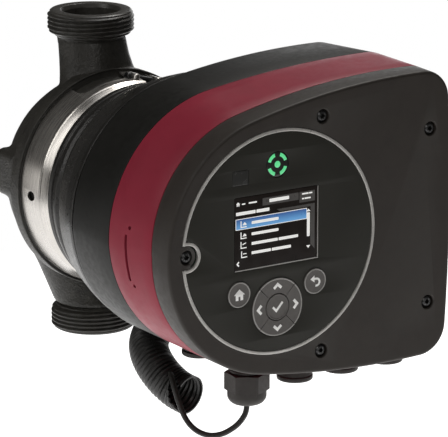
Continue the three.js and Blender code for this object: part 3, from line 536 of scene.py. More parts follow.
def cut(base, *steps):
    """Booleans in order: each step is ("UNION", "DIFFERENCE" or "INTERSECT", mesh)."""
    obj = as_object("base", base)
    tools = []
    for operation, mesh in steps:
        tool = as_object("tool", mesh)
        tools.append(tool)
        modifier = obj.modifiers.new("cut", "BOOLEAN")
        modifier.operation, modifier.object, modifier.solver = operation, tool, "EXACT"
    result = evaluated(obj)
    for tool in tools:
        bpy.data.objects.remove(tool)
    return result


def evaluated(obj):
    graph = bpy.context.evaluated_depsgraph_get()
    result = bpy.data.meshes.new_from_object(obj.evaluated_get(graph))
    bpy.data.objects.remove(obj)
    return result


def remeshed(mesh, voxel, passes):
    obj = as_object("soft", mesh)
    remesh = obj.modifiers.new("remesh", "REMESH")
    remesh.mode, remesh.voxel_size = "VOXEL", voxel * MM
    smooth = obj.modifiers.new("smooth", "SMOOTH")
    smooth.factor, smooth.iterations = 0.5, passes
    return evaluated(obj)


def piece(name, mesh, body, slot, *materials, replaces=(), sharp=34, paint=None):
    """Puts a finished mesh in the scene. paint(centre) gives each face's material index."""
    mesh.name = name
    mesh.materials.clear()
    for material in materials:
        mesh.materials.append(material)
    for face in mesh.polygons:
        face.material_index = paint(face.center / MM) if paint else 0
        face.use_smooth = True
    mesh.set_sharp_from_angle(angle=math.radians(sharp))
    obj = as_object(name, mesh)
    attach(obj, body)
    if replaces:
        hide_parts(*replaces)
    return obj


# ---- Routes ----

def smooth_route(points, steps=10):
    """A centripetal Catmull-Rom curve through (x, reach, z) points, in metres."""
    p = [at(*point) for point in points]
    p = [2 * p[0] - p[1], *p, 2 * p[-1] - p[-2]]
    line = []
    for a, b, c, d in zip(p, p[1:], p[2:], p[3:]):
        t1 = math.sqrt((b - a).length)
        t2 = t1 + math.sqrt((c - b).length)
        t3 = t2 + math.sqrt((d - c).length)
        for k in range(steps):
            t = t1 + (t2 - t1) * k / steps
            ab = a.lerp(b, t / t1)
            bc = b.lerp(c, (t - t1) / (t2 - t1))
            cd = c.lerp(d, (t - t2) / (t3 - t2))
            line.append(ab.lerp(bc, t / t2).lerp(bc.lerp(cd, (t - t1) / (t3 - t1)), (t - t1) / (t2 - t1)))
    line.append(p[-2])
    return line


def length_of(line):
    return sum((b - a).length for a, b in zip(line, line[1:]))


def spaced(line, step):
    """The same line with points step metres apart, and the distance of each from the start."""
    total = length_of(line)
    count = max(2, round(total / step))
    wanted = [total * i / count for i in range(count + 1)]
    result, walked, k = [], 0.0, 0
    for distance in wanted:
        while k < len(line) - 2 and walked + (line[k + 1] - line[k]).length < distance:
            walked += (line[k + 1] - line[k]).length
            k += 1
        span = (line[k + 1] - line[k]).length
        result.append(line[k].lerp(line[k + 1], min(1, (distance - walked) / span)))
    return result, wanted


def frames_along(line, up):
    """Each point with its up and side vectors, with the least twist."""
    result = []
    for i, point in enumerate(line):
        tangent = (line[min(i + 1, len(line) - 1)] - line[max(i - 1, 0)]).normalized()
        up = (up - tangent * up.dot(tangent)).normalized()
        result.append((point, up, tangent.cross(up)))
    return result


def tube(line, radius, sides=24):
    rings = []
    for point, up, side in frames_along(line, Vector((0, 0.3, 1))):
        turn = [2 * math.pi * i / sides for i in range(sides)]
        rings.append([point + (up * math.cos(a) + side * math.sin(a)) * radius * MM for a in turn])
    return skin(rings)


# ---- Cords ----

def sensor_cable():
    line, _ = spaced(smooth_route(CABLE_ROUTE), 1.0 * MM)
    obj = piece("sensor_lead", tube(line, CABLE_R), CASING, "cable_jacket", JACKET, replaces=["sensor_cable"])
    tuple(line[0])
    length_of(line)
    [tuple(p) for p in line]


RIB_PITCH = 2.3
RIB_DEPTH, SLEEVE_WALL = 1.0, 0.8
SLIT_LENGTH = 12.5 * MM
SEAM_END, SEAM_START = 111.5, 112.5  # degrees, where the slit's edges meet
UPPER_TURN, LOWER_TURN = 27, 106  # degrees by which the edges draw back at the mouth
LIP, LIP_SPREAD = 1.5, 40


def cable_sleeve():
    """A hollow corrugated sleeve; its last stretch is slit open, with the lower edge turned out as a lip."""
    line, walked = spaced(smooth_route(SLEEVE_ROUTE), 0.4 * MM)
    total = walked[-1]
    sides = 60
    rings = []
    for (point, up, side), distance in zip(frames_along(line, Vector((0, 0.2, 1))), walked):
        left = total - distance
        wave = 0.5 - 0.5 * math.cos(2 * math.pi * left / (RIB_PITCH * MM))
        height = min(1, wave * 1.5) if left > 1.0 * MM else 1
        outer = SLEEVE_R - RIB_DEPTH * (1 - height)
        opening = max(0.0, 1 - left / SLIT_LENGTH)
        end = math.radians(SEAM_END + UPPER_TURN * opening) + 2 * math.pi
        start = math.radians(SEAM_START + LOWER_TURN * opening ** 0.8)
        lift = LIP * math.sin(math.pi * min(1, opening * 1.1))
        wall_out, wall_in = [], []
        for i in range(sides + 1):
            angle = start + (end - start) * i / sides
            near = max(0, 1 - (angle - start) / math.radians(LIP_SPREAD))
            way = up * math.sin(angle) - side * math.cos(angle)
            wall_out.append(point + way * (outer + lift * near ** 2) * MM)
            wall_in.append(point + way * (outer - SLEEVE_WALL + lift * near ** 2) * MM)
        rings.append(wall_out + wall_in[::-1])
    obj = piece("corrugated_sleeve", skin(rings), CASING, "sleeve_plastic", SLEEVE, replaces=["cable_sleeve"],
                sharp=60)
    tuple(line[0])
    length_of(line)
    [tuple(p) for p in line]


sensor_cable()
cable_sleeve()


# ---- Hydraulic end ----

def neck(sections, sides=64):
    rings = []
    for z, reach, across, deep in sections:
        turn = [2 * math.pi * i / sides for i in range(sides)]
        rings.append([at(across * math.cos(a), reach + deep * math.sin(a), z) for a in turn])
    return skin(rings)


SENSOR_ANGLE, SENSOR_REACH = -0.64, 1
SENSOR_WAY = Vector((math.cos(SENSOR_ANGLE), 0, math.sin(SENSOR_ANGLE)))
SENSOR_AXIS = (Vector((0, -SENSOR_REACH, 0)), SENSOR_WAY, Vector((0, 1, 0)))


def casting():
    volute = [
        (0, -51.7), (15, -51.7, 7), (26, -46, 9), (35, -32, 14), (43, -19, 14), (50, -8, 9),
        (54.2, 0, 7), (56, 8, 4),
        (56.2, 12, 2),
        (60.2, 15.4, 1), (60.2, 22.6, 1), (55, 22.9), (55, 29.2), (0, 29.2),
    ]
    boss_side = rounded([(-56, -8.5, 3.5), (-44, -8.5), (-44, 17.3), (-56, 17.3, 3.5)])
    left_boss = plate([boss_side], -9.6, 9.6, 1.5, 3)
    sensor_boss = cylinder(12.6, 40, 59.6, SENSOR_AXIS, 48)
    body = cut(
        turned(rounded(volute, 5), MOTOR_AXIS), ("UNION", neck(OUTLET_NECK)), ("UNION", neck(INLET_NECK)),
        ("UNION", left_boss), ("UNION", sensor_boss),
        ("DIFFERENCE", tube(smooth_route(OUTLET_DUCT, 4), DUCT_R, 32)),
        ("DIFFERENCE", tube(smooth_route(INLET_DUCT, 4), DUCT_R, 32)),
        ("DIFFERENCE", cylinder(46, 5, 31, MOTOR_AXIS)),
    )
    return remeshed(body, 1.15, 5)


THREAD_START, THREAD_END, THREADED_END = 1.0, 13.8, 14.6  # below the port face
TAPER_START, TAPER_LENGTH = 10.4, 4.2
THREAD_PAINT = 13.2  # how much of each port has the thread's material


def thread_shape(r, z, angle):
    """Lifts the root cylinder into a helical thread that fades out at both ends."""
    depth = PORT["half"] - z
    if r < PORT["neck"] - 0.2 or not THREAD_START < depth < THREAD_END:
        return r
    phase = (depth / PORT["pitch"] + angle / (2 * math.pi)) % 1
    wave = max(0, min(1, (1 - abs(2 * phase - 1)) * 1.5 - 0.2))
    fade = min(1, (depth - THREAD_START) / 1.1, (THREAD_END - depth) / 1.0)
    return r + (PORT["crest"] - PORT["root"]) * wave * fade


def port():
    half, root, bore, neck_r = PORT["half"], PORT["root"], PORT["bore"], PORT["neck"]
    steps = 100
    threads = []
    for i in range(steps + 1):
        z = half - THREADED_END + (THREADED_END - THREAD_START) * i / steps
        taper = max(0, min(1, (half - TAPER_START - z) / TAPER_LENGTH))
        threads.append((root + (neck_r - root) * taper ** 1.2, z))
    rim = rounded([
        (root, half - 0.5), (root - 0.7, half - 0.02, 0.2), (bore + 1.3, half - 0.02, 0.4),
        (bore, half - 2.2, 0.5),
        (bore, half - 10.4, 0.6), (DUCT_R + 0.2, half - 11.6, 0.6), (DUCT_R + 0.2, half - 18.4),
    ], 3)
    profile = [(neck_r - 0.4, half - 18.4), (neck_r, half - 15), *threads, *rim]
    return turned(profile, upright(0, 0), 160, radius_at=thread_shape)


def pump_housing():
    bottom = port()
    bottom.transform(Matrix.Rotation(math.pi, 4, "X"))
    flange = turned(rounded([
        (52, 12.9), (58.6, 12.9, 1.2), (60.65, 15.2, 1.0), (60.65, 22.95, 0.5), (59.8, 22.95, 0.3),
        (59.2, 21.6, 0.3), (57.2, 21.6, 0.3), (56.4, 22.95, 0.3), (55.6, 29.5, 0.4), (46.2, 29.5),
        (46.2, 20), (52, 20),
    ], 3), MOTOR_AXIS, 180)
    body = cut(casting(), ("UNION", joined(port(), bottom)), ("UNION", flange))
    threaded = PORT["half"] - THREAD_PAINT
    piece("pump_casting", body, CASING, "cast_iron_black", CAST, THREAD, replaces=["pump_housing"], sharp=40,
          paint=lambda centre: int(abs(centre.z) > threaded))


pump_housing()


# ---- Clamp ----

CLAMP_ANGLE = 15.5  # clockwise from the top, seen from the front


def on_clamp(mesh):
    mesh.transform(Matrix.Rotation(math.radians(CLAMP_ANGLE), 4, "Y"))
    return mesh


def block(x, reach, z, width, depth, height, bevel=0.6):
    """A box with rounded edges, placed by its centre."""
    bm = bmesh.new()
    bmesh.ops.create_cube(bm, size=1)
    bmesh.ops.scale(bm, vec=Vector((width, depth, height)) * MM, verts=bm.verts)
    bmesh.ops.bevel(bm, geom=bm.edges, offset=bevel * MM, segments=3, affect="EDGES", profile=0.5)
    bmesh.ops.translate(bm, vec=at(x, reach, z), verts=bm.verts)
    return as_mesh(bm)


CLAMP_SCREW_R = 56.4
CLAMP_SCREW_AXIS = side_axis(32, CLAMP_SCREW_R)


def clamp_band():
    half_gap = 4.6
    full = turned(rounded([
        (57.9, 23.5, 0.3), (58.95, 23.5, 0.3), (56.3, 37.9, 0.6), (56.75, 38.9, 0.7), (56.2, 39.9, 0.7),
        (54.3, 45.0, 0.6), (53.0, 45.0, 0.3), (54.9, 39.6, 0.4), (55.1, 38.2, 0.5),
    ], 3), MOTOR_AXIS, 240)
    window = upright_window(-27, 3.5)
    far_window = upright_window(24.5, 55)
    opening = on_clamp(block(0, 32, 56, 2 * half_gap, 30, 16, 0.2))
    drain = cylinder(2.75, -66, -50, side_axis(31.5, -1), 32)
    band = cut(full, *[("DIFFERENCE", tool) for tool in (window, far_window, opening, drain)])
    lugs = []
    for side in (-1, 1):
        lug = block(7.2 * side - 1.0, 31.4, CLAMP_SCREW_R, 3.6, 10.6, 5.4, 1.2)
        hole = cylinder(2.5, -20, 20, CLAMP_SCREW_AXIS, 24)
        lugs.append(on_clamp(cut(lug, ("DIFFERENCE", hole))))
    band = cut(band, ("UNION", lugs[0]), ("UNION", lugs[1]))
    piece("clamp_strap", band, CASING, "stainless_band", BAND, replaces=["clamp_band"])


def upright_window(start, end):
    """The cutter of a round-cornered window through the flat of the band, between two angles."""
    corner = 5.0
    rings = []
    middle = 28.6
    outline = rounded([
        (start, 20), (start, middle + corner, corner), (end, middle + corner, corner), (end, 20),
    ], 6)
    # The outline is unrolled: the first number is an angle that stands for one millimetre per degree.
    for r in (53, 63):
        ring = []
        for angle, reach in outline:
            a = math.radians(angle)
            ring.append(at(r * math.sin(a), reach, r * math.cos(a)))
        rings.append(ring)
    return skin(rings)


def hexagon(r, t0, t1, axis, chamfer=0.6):
    """A six-sided prism with turned chamfers; r is half its width across flats."""
    corner = r / math.cos(math.pi / 6)
    prism = cylinder(corner, t0, t1, axis, 6)
    cone = turned([
        (0, t0), (r, t0), (corner + 0.1, t0 + chamfer), (corner + 0.1, t1 - chamfer), (r, t1), (0, t1),
    ], axis, 96)
    return cut(prism, ("INTERSECT", cone))


def clamp_fasteners():
    shank = turned(rounded([
        (0, -12.9), (2.4, -12.9, 0.3), (2.4, -10.2, 0.3), (1.9, -10.1), (1.9, 12.9, 0.3), (0, 12.9),
    ], 3), CLAMP_SCREW_AXIS, 48)
    socket = cylinder(1.5, -14, -10.6, CLAMP_SCREW_AXIS, 6)
    piece("clamp_bolt", on_clamp(cut(shank, ("DIFFERENCE", socket))), CASING, "dark_steel", DARK_STEEL,
          replaces=["clamp_screw"])
    nut = cut(hexagon(2.6, 8.25, 10.95, CLAMP_SCREW_AXIS, 0.4),
              ("DIFFERENCE", cylinder(2.2, 8, 14, CLAMP_SCREW_AXIS, 32)))
    piece("clamp_hex_nut", on_clamp(nut), CASING, "stainless_band", STEEL, replaces=["clamp_nut"])


clamp_band()
clamp_fasteners()


# ---- Motor ----

SHOULDER_START, SHOULDER_LENGTH, LOWER_PULL = 70, 27, 4


def motor_shell():
    profile = rounded([
        (46.4, 32.4), (53.6, 32.4, 0.5), (53.2, 38, 0.8), (51.6, 39.8, 0.6), (51.6, 45.8, 0.8),
        (55.2, 46.3, 1.4),
        (57.6, 49.6, 1.8), (57.2, 52.4, 1.4), (55.6, 53.6, 0.9), (58.8, 56.6, 2.4), (59.6, 60.2, 3),
        (58.2, 63.4, 1.6),
        (60.6, 67.4, 3), (63.6, 71.6, 6), (69.6, 88, 14), (72.3, 97, 5), (72.3, 99.6, 0.5), (62, 99.6),
        (46.4, 88),
    ], 6)

    def follow_box(r, t, angle):
        """The shoulder follows the box, which is flatter below."""
        share = max(0, min(1, (t - SHOULDER_START) / SHOULDER_LENGTH))
        return r + LOWER_PULL * share * min(0, math.cos(angle))

    mesh = turned(profile, MOTOR_AXIS, 200, radius_at=follow_box)
    piece("motor_shell", mesh, CASING, "motor_paint", MOTOR, replaces=["stator_housing"], sharp=40)


motor_shell()


# ---- Control box ----

def hidden_ring(r, reach):
    """A circle round the motor axis with as many points as the box's outline, in the same order."""
    return [at(r * p.x / p.length, reach, r * p.y / p.length) for p in box_outline(OUTLINES[0][1])]


def control_box():
    inset = 2.9
    rings = [hidden_ring(40, 104), hidden_ring(40, 100.05)]
    rings += [box_ring(reach, pull) for reach, pull in (
        (100.05, 3.2), (100.25, 1.5), (100.8, 0.6), (101.6, 0.15), (102.8, 0), (118, 0), (136.55, 0),
        (136.9, 0.12),
        (137.0, 0.4), (137.0, inset), (BAND_BACK, inset), (168.7, inset), (168.7, inset + 3.2),
        (104, inset + 3.2),
    )]
    shell = skin(rings, looped=True)
    steps = []
    for x, reach, end in ENTRIES:
        profile = rounded([(0, end), (BOSS_R, end, 0.8), (BOSS_R, -60), (0, -60)], 4)
        steps.append(("UNION", turned(profile, upright(x, reach), 72)))
    for x, reach, _ in ENTRIES:
        steps.append(("DIFFERENCE", cylinder(7.9, -100, -50, upright(x, reach), 64)))
    piece("box_shell", cut(shell, *steps), CASING, "box_plastic", BOX, replaces=["control_box"])


def trim_band():
    rings = [box_ring(reach, pull) for reach, pull in (
        (BAND_BACK, 0.35), (BAND_BACK + 0.12, 0.1), (BAND_BACK + 0.4, 0), (145, 0), (153, 0), (161, 0),
        (BAND_FRONT - 0.4, 0), (BAND_FRONT - 0.12, 0.1), (BAND_FRONT, 0.35), (BAND_FRONT, 2.4),
        (BAND_BACK, 2.4),
    )]
    slot = block(-70, 150, -6, 12, 1.8, 25, 0.85)
    steps = [("DIFFERENCE", slot)]
    for z in (10.2, -20.8):
        dot = cylinder(1.05, -76, -60, side_axis(152.2, z), 24)
        steps.append(("DIFFERENCE", dot))
    for x, reach, _ in ENTRIES[:4]:
        steps.append(("DIFFERENCE", cylinder(BOSS_R + 0.3, -100, -60, upright(x, reach), 64)))
    piece("burgundy_band", cut(skin(rings, looped=True), *steps), CASING, "burgundy_plastic", BURGUNDY,
          replaces=["trim_band"])


def panel_outline(r, bite, steps=90):
    """A disc with a round bite out of its left edge, which runs straight out to the rim."""
    rim = math.pi - math.asin(bite / r)
    outline = arc((0, 0), r, -rim, rim, steps)
    outline.append(Vector((r * math.cos(rim), r * math.sin(rim))))
    outline += arc((NOTCH_X, 0), bite, math.pi / 2, -math.pi / 2, 28)
    outline.append(Vector((NOTCH_X, -bite)))
    return outline


def front_cover():
    rings = [box_ring(reach, pull) for reach, pull in (
        (COVER_BACK, 0.35), (COVER_BACK + 0.12, 0.1), (COVER_BACK + 0.4, 0), (176, 0), (183.55, 0),
        (184.1, 0.12),
        (184.55, 0.42), (184.85, 0.85), (184.97, 1.35), (185, 1.9), (185, 2.6),
    )]
    cavity = skin([box_ring(168, 10), box_ring(182, 10)])
    recess = plate([panel_outline(RING_R + 0.25, NOTCH_R - 0.25)], 183.4, 190)
    opening = cylinder(54.5, 160, 190, MOTOR_AXIS, 120)
    steps = [("DIFFERENCE", cavity), ("DIFFERENCE", opening), ("DIFFERENCE", recess)]
    for x, z in COVER_SCREWS:
        boss = cylinder(5.6, COVER_BACK, 184, front_axis(x, z), 48)
        steps.append(("UNION", boss))
    for x, z in COVER_SCREWS:
        hole = turned([
            (0, 160), (2.3, 160), (2.3, 181), (3.75, 181), (3.75, 184.55), (4.25, 185.05), (4.25, 187),
            (0, 187),
        ], front_axis(x, z), 48)
        steps.append(("DIFFERENCE", hole))
    piece("front_shell", cut(skin(rings), *steps), CASING, "cover_plastic", COVER, replaces=["front_cover"],
          sharp=30)


def star_cutter(x, z, r, back, front):
    """The six-lobed recess of a screw head."""
    loop = []
    for i in range(72):
        angle = 2 * math.pi * i / 72
        reach_out = r * (1 + 0.17 * math.cos(6 * angle))
        loop.append((x + reach_out * math.cos(angle), z + reach_out * math.sin(angle)))
    return plate([loop], back, front)


def cover_screws():
    for number, (x, z) in enumerate(COVER_SCREWS, start=1):
        head = turned(rounded([
            (0, 158), (2.0, 158), (2.0, 181.3), (3.35, 181.3, 0.2), (3.35, 183.2, 0.9),
            (2.2, 184.35, 0.4), (0, 184.4),
        ], 4), front_axis(x, z), 64)
        mesh = cut(head, ("DIFFERENCE", star_cutter(x, z, 1.35, 182.4, 186)))
        piece(f"cover_bolt_{number}", mesh, CASING, "dark_steel", DARK_STEEL,
              replaces=[f"cover_screw_{number}"])


control_box()
trim_band()
front_cover()
cover_screws()


# ---- Control panel ----

def rectangle(x, z, w, h, r=0.6):
    corners = [(-w / 2, -h / 2), (w / 2, -h / 2), (w / 2, h / 2), (-w / 2, h / 2)]
    return rounded([(x + u, z + v, r) for u, v in corners], 4)


def circle(x, z, r, steps=64):
    return arc((x, z), r, 0, 2 * math.pi, steps)


def panel():
    holes = [
        rectangle(DISPLAY["x"], DISPLAY["z"], DISPLAY["w"] + 0.5, DISPLAY["h"] + 0.5, 0.9),
        rectangle(IR[0], IR[1], IR[2] + 0.3, IR[3] + 0.3, 0.6),
        circle(STATUS[0], STATUS[1], STATUS[2] + 0.15),
        circle(PANEL_X, KEYPAD_Z, KEYPAD_R + 0.35, 96),
    ]
    for side in (-1, 1):
        holes.append(circle(PANEL_X + side * ROUND_KEY_SIDE, ROUND_KEY_Z, ROUND_KEY_R + 0.35))
    outline = panel_outline(PANEL_R, NOTCH_R + 2)
    piece("panel_face", plate([outline, *holes], PANEL_BACK, PANEL_FRONT, 0.12), CASING, "panel_foil", FOIL,
          replaces=["panel_disc"])
    ring = plate([panel_outline(RING_R, NOTCH_R), panel_outline(PANEL_R + 0.25, NOTCH_R + 1.75)],
                 PANEL_BACK, PANEL_FRONT + 0.2, 0.35, 3)
    piece("panel_bezel", ring, CASING, "silver_trim", SILVER, replaces=["panel_ring"])


SCREEN_BACK, SCREEN_FRONT = 185.02, 185.1
DISPLAY_LEFT = DISPLAY["x"] - DISPLAY["w"] / 2
DISPLAY_TOP = DISPLAY["z"] + DISPLAY["h"] / 2
TAB_TOP = 0.055  # as a share of the display's height


def on_display(u, v):
    """A place on the display: shares of its width from the left and of its height from the top."""
    return DISPLAY_LEFT + u * DISPLAY["w"], DISPLAY_TOP - v * DISPLAY["h"]


def bar(left, right, v, height, r=0.35):
    x0, z = on_display(left, v)
    x1, _ = on_display(right, v)
    return rectangle((x0 + x1) / 2, z, x1 - x0, height, r)


def word_bars(left, right, v, height, widths, gap=0.55):
    """Plain bars in place of words; widths are relative."""
    x0, z = on_display(left, v)
    x1, _ = on_display(right, v)
    room = x1 - x0 - gap * (len(widths) - 1)
    loops, x = [], x0
    for width in widths:
        w = room * width / sum(widths)
        loops.append(rectangle(x + w / 2, z, w, height, 0.25))
        x += w + gap
    return loops


def chevron(x, z, size, degrees, width):
    """An open arrowhead that points along an angle."""
    corners = [(-0.45, 1), (0.45, 0), (-0.45, -1)]
    way = [Vector((x, z)) + turn_by(degrees, Vector(c) * size) for c in corners]
    return stroke(way, width)


def turn_by(degrees, vector):
    angle = math.radians(degrees)
    return Vector((
        vector.x * math.cos(angle) - vector.y * math.sin(angle),
        vector.x * math.sin(angle) + vector.y * math.cos(angle),
    ))


def stroke(points, width):
    """The outline of a line of constant width with mitred bends."""
    left, right = [], []
    for i, point in enumerate(points):
        before = (point - points[i - 1]).normalized() if i else None
        after = (points[i + 1] - point).normalized() if i + 1 < len(points) else None
        before, after = before or after, after or before
        normal = Vector((-before.y - after.y, before.x + after.x)).normalized()
        bend = max(0.35, normal.dot(Vector((-before.y, before.x))))
        left.append(point + normal * width / 2 / bend)
        right.append(point - normal * width / 2 / bend)
    return left + right[::-1]


def offsets(x, z, pairs, s=1):
    """Points at scaled distances from one place."""
    return [Vector((x + u * s, z + v * s)) for u, v in pairs]


def house(x, z, s):
    """A house with a door, as one outline."""
    outline = [
        (-0.72, -0.9), (-0.2, -0.9), (-0.2, -0.25), (0.2, -0.25), (0.2, -0.9), (0.72, -0.9),
        (0.72, 0.02), (1.08, 0.02),
        (0, 1), (-1.08, 0.02), (-0.72, 0.02),
    ]
    return offsets(x, z, outline, s)


def return_arrow(x, z, s):
    """A U-turn arrow: a hook and its head."""
    hook = arc((x + 0.15 * s, z - 0.12 * s), 0.62 * s, math.pi / 2, -2.1, 18)
    line = [Vector((x - 0.55 * s, z + 0.5 * s)), *hook]
    return [stroke(line, 0.36 * s), offsets(x, z, [(-1.1, 0.5), (-0.28, 1.12), (-0.28, -0.12)], s)]


def graph_icon(u, v, rise):
    """Two axes with a line that ends at a height, or with a filled area where there is none."""
    x, z = on_display(u, v)
    axes = stroke(offsets(x, z, [(0, 1.7), (0, -1.6), (3.4, -1.6)]), 0.55)
    if rise is None:
        return [axes, offsets(x, z, [(0.9, -0.6), (3.3, -0.6), (3.0, 0.4), (2.0, 0.9)])]
    return [axes, stroke(offsets(x, z, [(0.9, 0.2), (3.0, rise)]), 0.5)]


def flat_pieces(name, loops, back, front, material, body=CASING, slot="display_glass", bevel=0.0):
    """Several outlines that lie side by side, as one piece."""
    mesh = joined(*[plate([loop], back, front, bevel, 1) for loop in loops])
    return piece(name, mesh, body, slot, material)


def display_points(*shares):
    return [Vector(on_display(*share)) for share in shares]


def tab(left, right, bottom):
    """A header tab with rounded upper corners."""
    upper_left, upper_right = on_display(left, TAB_TOP), on_display(right, TAB_TOP)
    corners = [on_display(left, bottom), (*upper_left, 0.4), (*upper_right, 0.4), on_display(right, bottom)]
    return rounded(corners, 3)


def screen_panes():
    """The window, the header tabs beside a painted pale sheen, and the picked row with its outline."""
    window = rectangle(DISPLAY["x"], DISPLAY["z"], DISPLAY["w"], DISPLAY["h"], 0.8)
    piece("display_pane", plate([window], 183.3, SCREEN_BACK, 0.1), CASING, "display_glass", GLASS,
          replaces=["display_window"])
    # The sheen is a painted reflection on the screen: a pale, faintly glowing patch.
    sheen = display_points(
        (0.5, 0.235), (0.955, 0.235), (0.955, 0.86), (0.905, 0.78), (0.905, 0.27), (0.54, 0.27),
    )
    tabs = [tab(0.33, 0.76, 0.155), tab(0.77, 0.955, 0.2)]
    flat_pieces("screen_header", [*tabs, sheen], SCREEN_BACK, 185.05, LIT_GREY)
    row = display_points((0.016, 0.428), (0.857, 0.428), (0.857, 0.292), (0.016, 0.292))
    flat_pieces("screen_row", [row], SCREEN_BACK, 185.06, LIT_BLUE)
    (row_left, row_bottom), (row_right, row_top) = on_display(0.016, 0.428), on_display(0.857, 0.292)
    middle = (row_left + row_right) / 2, (row_top + row_bottom) / 2
    width, height = row_right - row_left, row_top - row_bottom
    outer = rectangle(*middle, width + 0.5, height + 0.5, 0.3)
    inner = rectangle(*middle, width - 0.15, height - 0.15, 0.2)
    border = plate([outer, inner], SCREEN_BACK, SCREEN_FRONT)
    piece("screen_outline", border, CASING, "display_glass", LIT_WHITE)


def screen_marks():
    """A house, bars in place of words, graph icons, a scroll bar and its arrows."""
    marks = [house(*on_display(0.04, 0.085), 1.15)]
    for word in (
        (0.085, 0.125, 0.09, 0.7, [1]), (0.165, 0.262, 0.088, 0.8, [1]), (0.41, 0.645, 0.1, 1.75, [1]),
        (0.80, 0.925, 0.085, 0.8, [2, 1], 0.3), (0.80, 0.905, 0.15, 0.8, [1, 3], 0.3),
        (0.016, 0.41, 0.215, 1.7, [9, 6]), (0.20, 0.52, 0.36, 1.5, [1]), (0.20, 0.52, 0.512, 1.5, [1]),
        (0.20, 0.755, 0.643, 1.5, [12, 9]), (0.20, 0.67, 0.77, 1.5, [9, 9]),
    ):
        marks += word_bars(*word)
    for u, v, rise in ((0.075, 0.36, None), (0.075, 0.512, None), (0.075, 0.643, 0.9), (0.082, 0.77, 0.2)):
        marks += graph_icon(u, v, rise)
    marks.append(bar(0.862, 0.896, 0.513, 12.6, 0.3))
    marks.append(display_points((0.855, 0.335), (0.903, 0.335), (0.879, 0.3)))
    marks.append(display_points((0.855, 0.8), (0.879, 0.84), (0.903, 0.8)))
    marks.append(chevron(*on_display(0.04, 0.895), 1.15, 180, 0.75))
    flat_pieces("screen_marks", marks, 185.04, SCREEN_FRONT, LIT_WHITE)
    trim = stroke(display_points((0.992, 0.005), (0.992, 0.99), (0.005, 0.99)), 0.62)
    flat_pieces("screen_edge", [trim], SCREEN_BACK, 185.16, RIM, slot="silver_trim", bevel=0.05)


def status_light():
    x, z, r = STATUS
    profile = rounded([(0, 176), (r - 0.1, 176), (r - 0.1, 185.0, 0.3), (5.2, 185.06, 0.2), (0, 185.08)], 3)
    lens = turned(profile, front_axis(x, z), 72)
    piece("status_lens", lens, CASING, "status_lens", LENS, replaces=["status_light"])
    loops = [circle(x, z, 1.75, 32)]
    for middle in (45, 135, 225, 315):
        start, end = math.radians(middle - 27), math.radians(middle + 27)
        outer = arc((x, z), 6.05, start, end, 12)
        inner = arc((x, z), 4.25, end, start, 12)
        loops.append(outer + [Vector((x + 6.05 * math.cos(end), z + 6.05 * math.sin(end)))] + inner
                     + [Vector((x + 4.25 * math.cos(start), z + 4.25 * math.sin(start)))])
    flat_pieces("status_marks", loops, 185.0, 185.16, GREEN, slot="status_lens", bevel=0.03)
    window = plate([rectangle(*IR, 0.5)], 180, 185.12, 0.12)
    piece("receiver_window", window, CASING, "display_glass", IR_GLASS, replaces=["ir_window"])


RIM_DEEP = 1.2


def rim_paint(x, z, edge):
    """The second material for faces outside a radius and near a key's front."""
    def paint(centre):
        return int(math.hypot(centre.x - x, centre.z - z) > edge and -centre.y > KEY_FRONT - RIM_DEEP)
    return paint


def round_key(name, node, body, x, z, r, rim, icon):
    """A round key with a raised pale rim and a printed sign."""
    profile = rounded([
        (0, KEY_BACK), (r, KEY_BACK), (r, KEY_FRONT - 0.15, 0.25), (r - 0.45, KEY_FRONT, 0.12),
        (r - 0.75, KEY_FRONT - 0.3, 0.15),
        (r * 0.5, KEY_FRONT - 0.24), (0, KEY_FRONT - 0.2),
    ], 3)
    mesh = turned(profile, front_axis(x, z), 96)
    paint = rim_paint(x, z, r - 0.62) if rim else None
    piece(name, mesh, body, "key_plastic", KEY, RIM, replaces=[node], paint=paint)
    sign(f"{name}_sign", body, icon)


def sign(name, body, loops):
    flat_pieces(name, loops, KEY_FRONT - 0.35, KEY_FRONT - 0.06, PRINT_WHITE_GLOW, body, "key_plastic", 0.03)


def pad_key(name, node, body, degrees):
    """A quarter of the round pad, with a pale outer rim and a printed arrow."""
    inner = OK_R + 0.38
    profile = rounded([
        (inner, KEY_BACK), (KEYPAD_R, KEY_BACK), (KEYPAD_R, KEY_FRONT - 0.15, 0.25),
        (KEYPAD_R - 0.45, KEY_FRONT, 0.12),
        (KEYPAD_R - 0.8, KEY_FRONT - 0.22, 0.15), (inner + 0.2, KEY_FRONT - 0.1, 0.2),
        (inner, KEY_FRONT - 0.35, 0.1),
    ], 3)
    half = 45 - 0.75
    mesh = turned(profile, front_axis(PANEL_X, KEYPAD_Z), 28, (degrees - half, degrees + half))
    paint = rim_paint(PANEL_X, KEYPAD_Z, KEYPAD_R - 0.66)
    piece(name, mesh, body, "key_plastic", KEY, RIM, replaces=[node], paint=paint, sharp=30)
    way = turn_by(degrees, Vector((11.0, 0)))
    sign(f"{name}_sign", body, [chevron(PANEL_X + way.x, KEYPAD_Z + way.y, 2.3, degrees, 1.5)])


def keys():
    left, right = PANEL_X - ROUND_KEY_SIDE, PANEL_X + ROUND_KEY_SIDE
    round_key("home_key_cap", "home_button", "home_key", left, ROUND_KEY_Z, ROUND_KEY_R, True,
              [house(left, ROUND_KEY_Z - 0.1, 3.1)])
    round_key("back_key_cap", "back_button", "back_key", right, ROUND_KEY_Z, ROUND_KEY_R, True,
              return_arrow(right + 0.3, ROUND_KEY_Z - 0.2, 3.0))
    tick = stroke(offsets(PANEL_X, KEYPAD_Z, [(-2.9, 0.2), (-0.8, -2.0), (3.1, 2.3)]), 1.2)
    round_key("ok_key_cap", "ok_button", "ok_key", PANEL_X, KEYPAD_Z, OK_R, False, [tick])
    for name, degrees in (("right", 0), ("up", 90), ("left", 180), ("down", 270)):
        pad_key(f"{name}_key_cap", f"{name}_button", f"{name}_key", degrees)


panel()
screen_panes()
screen_marks()
status_light()
keys()


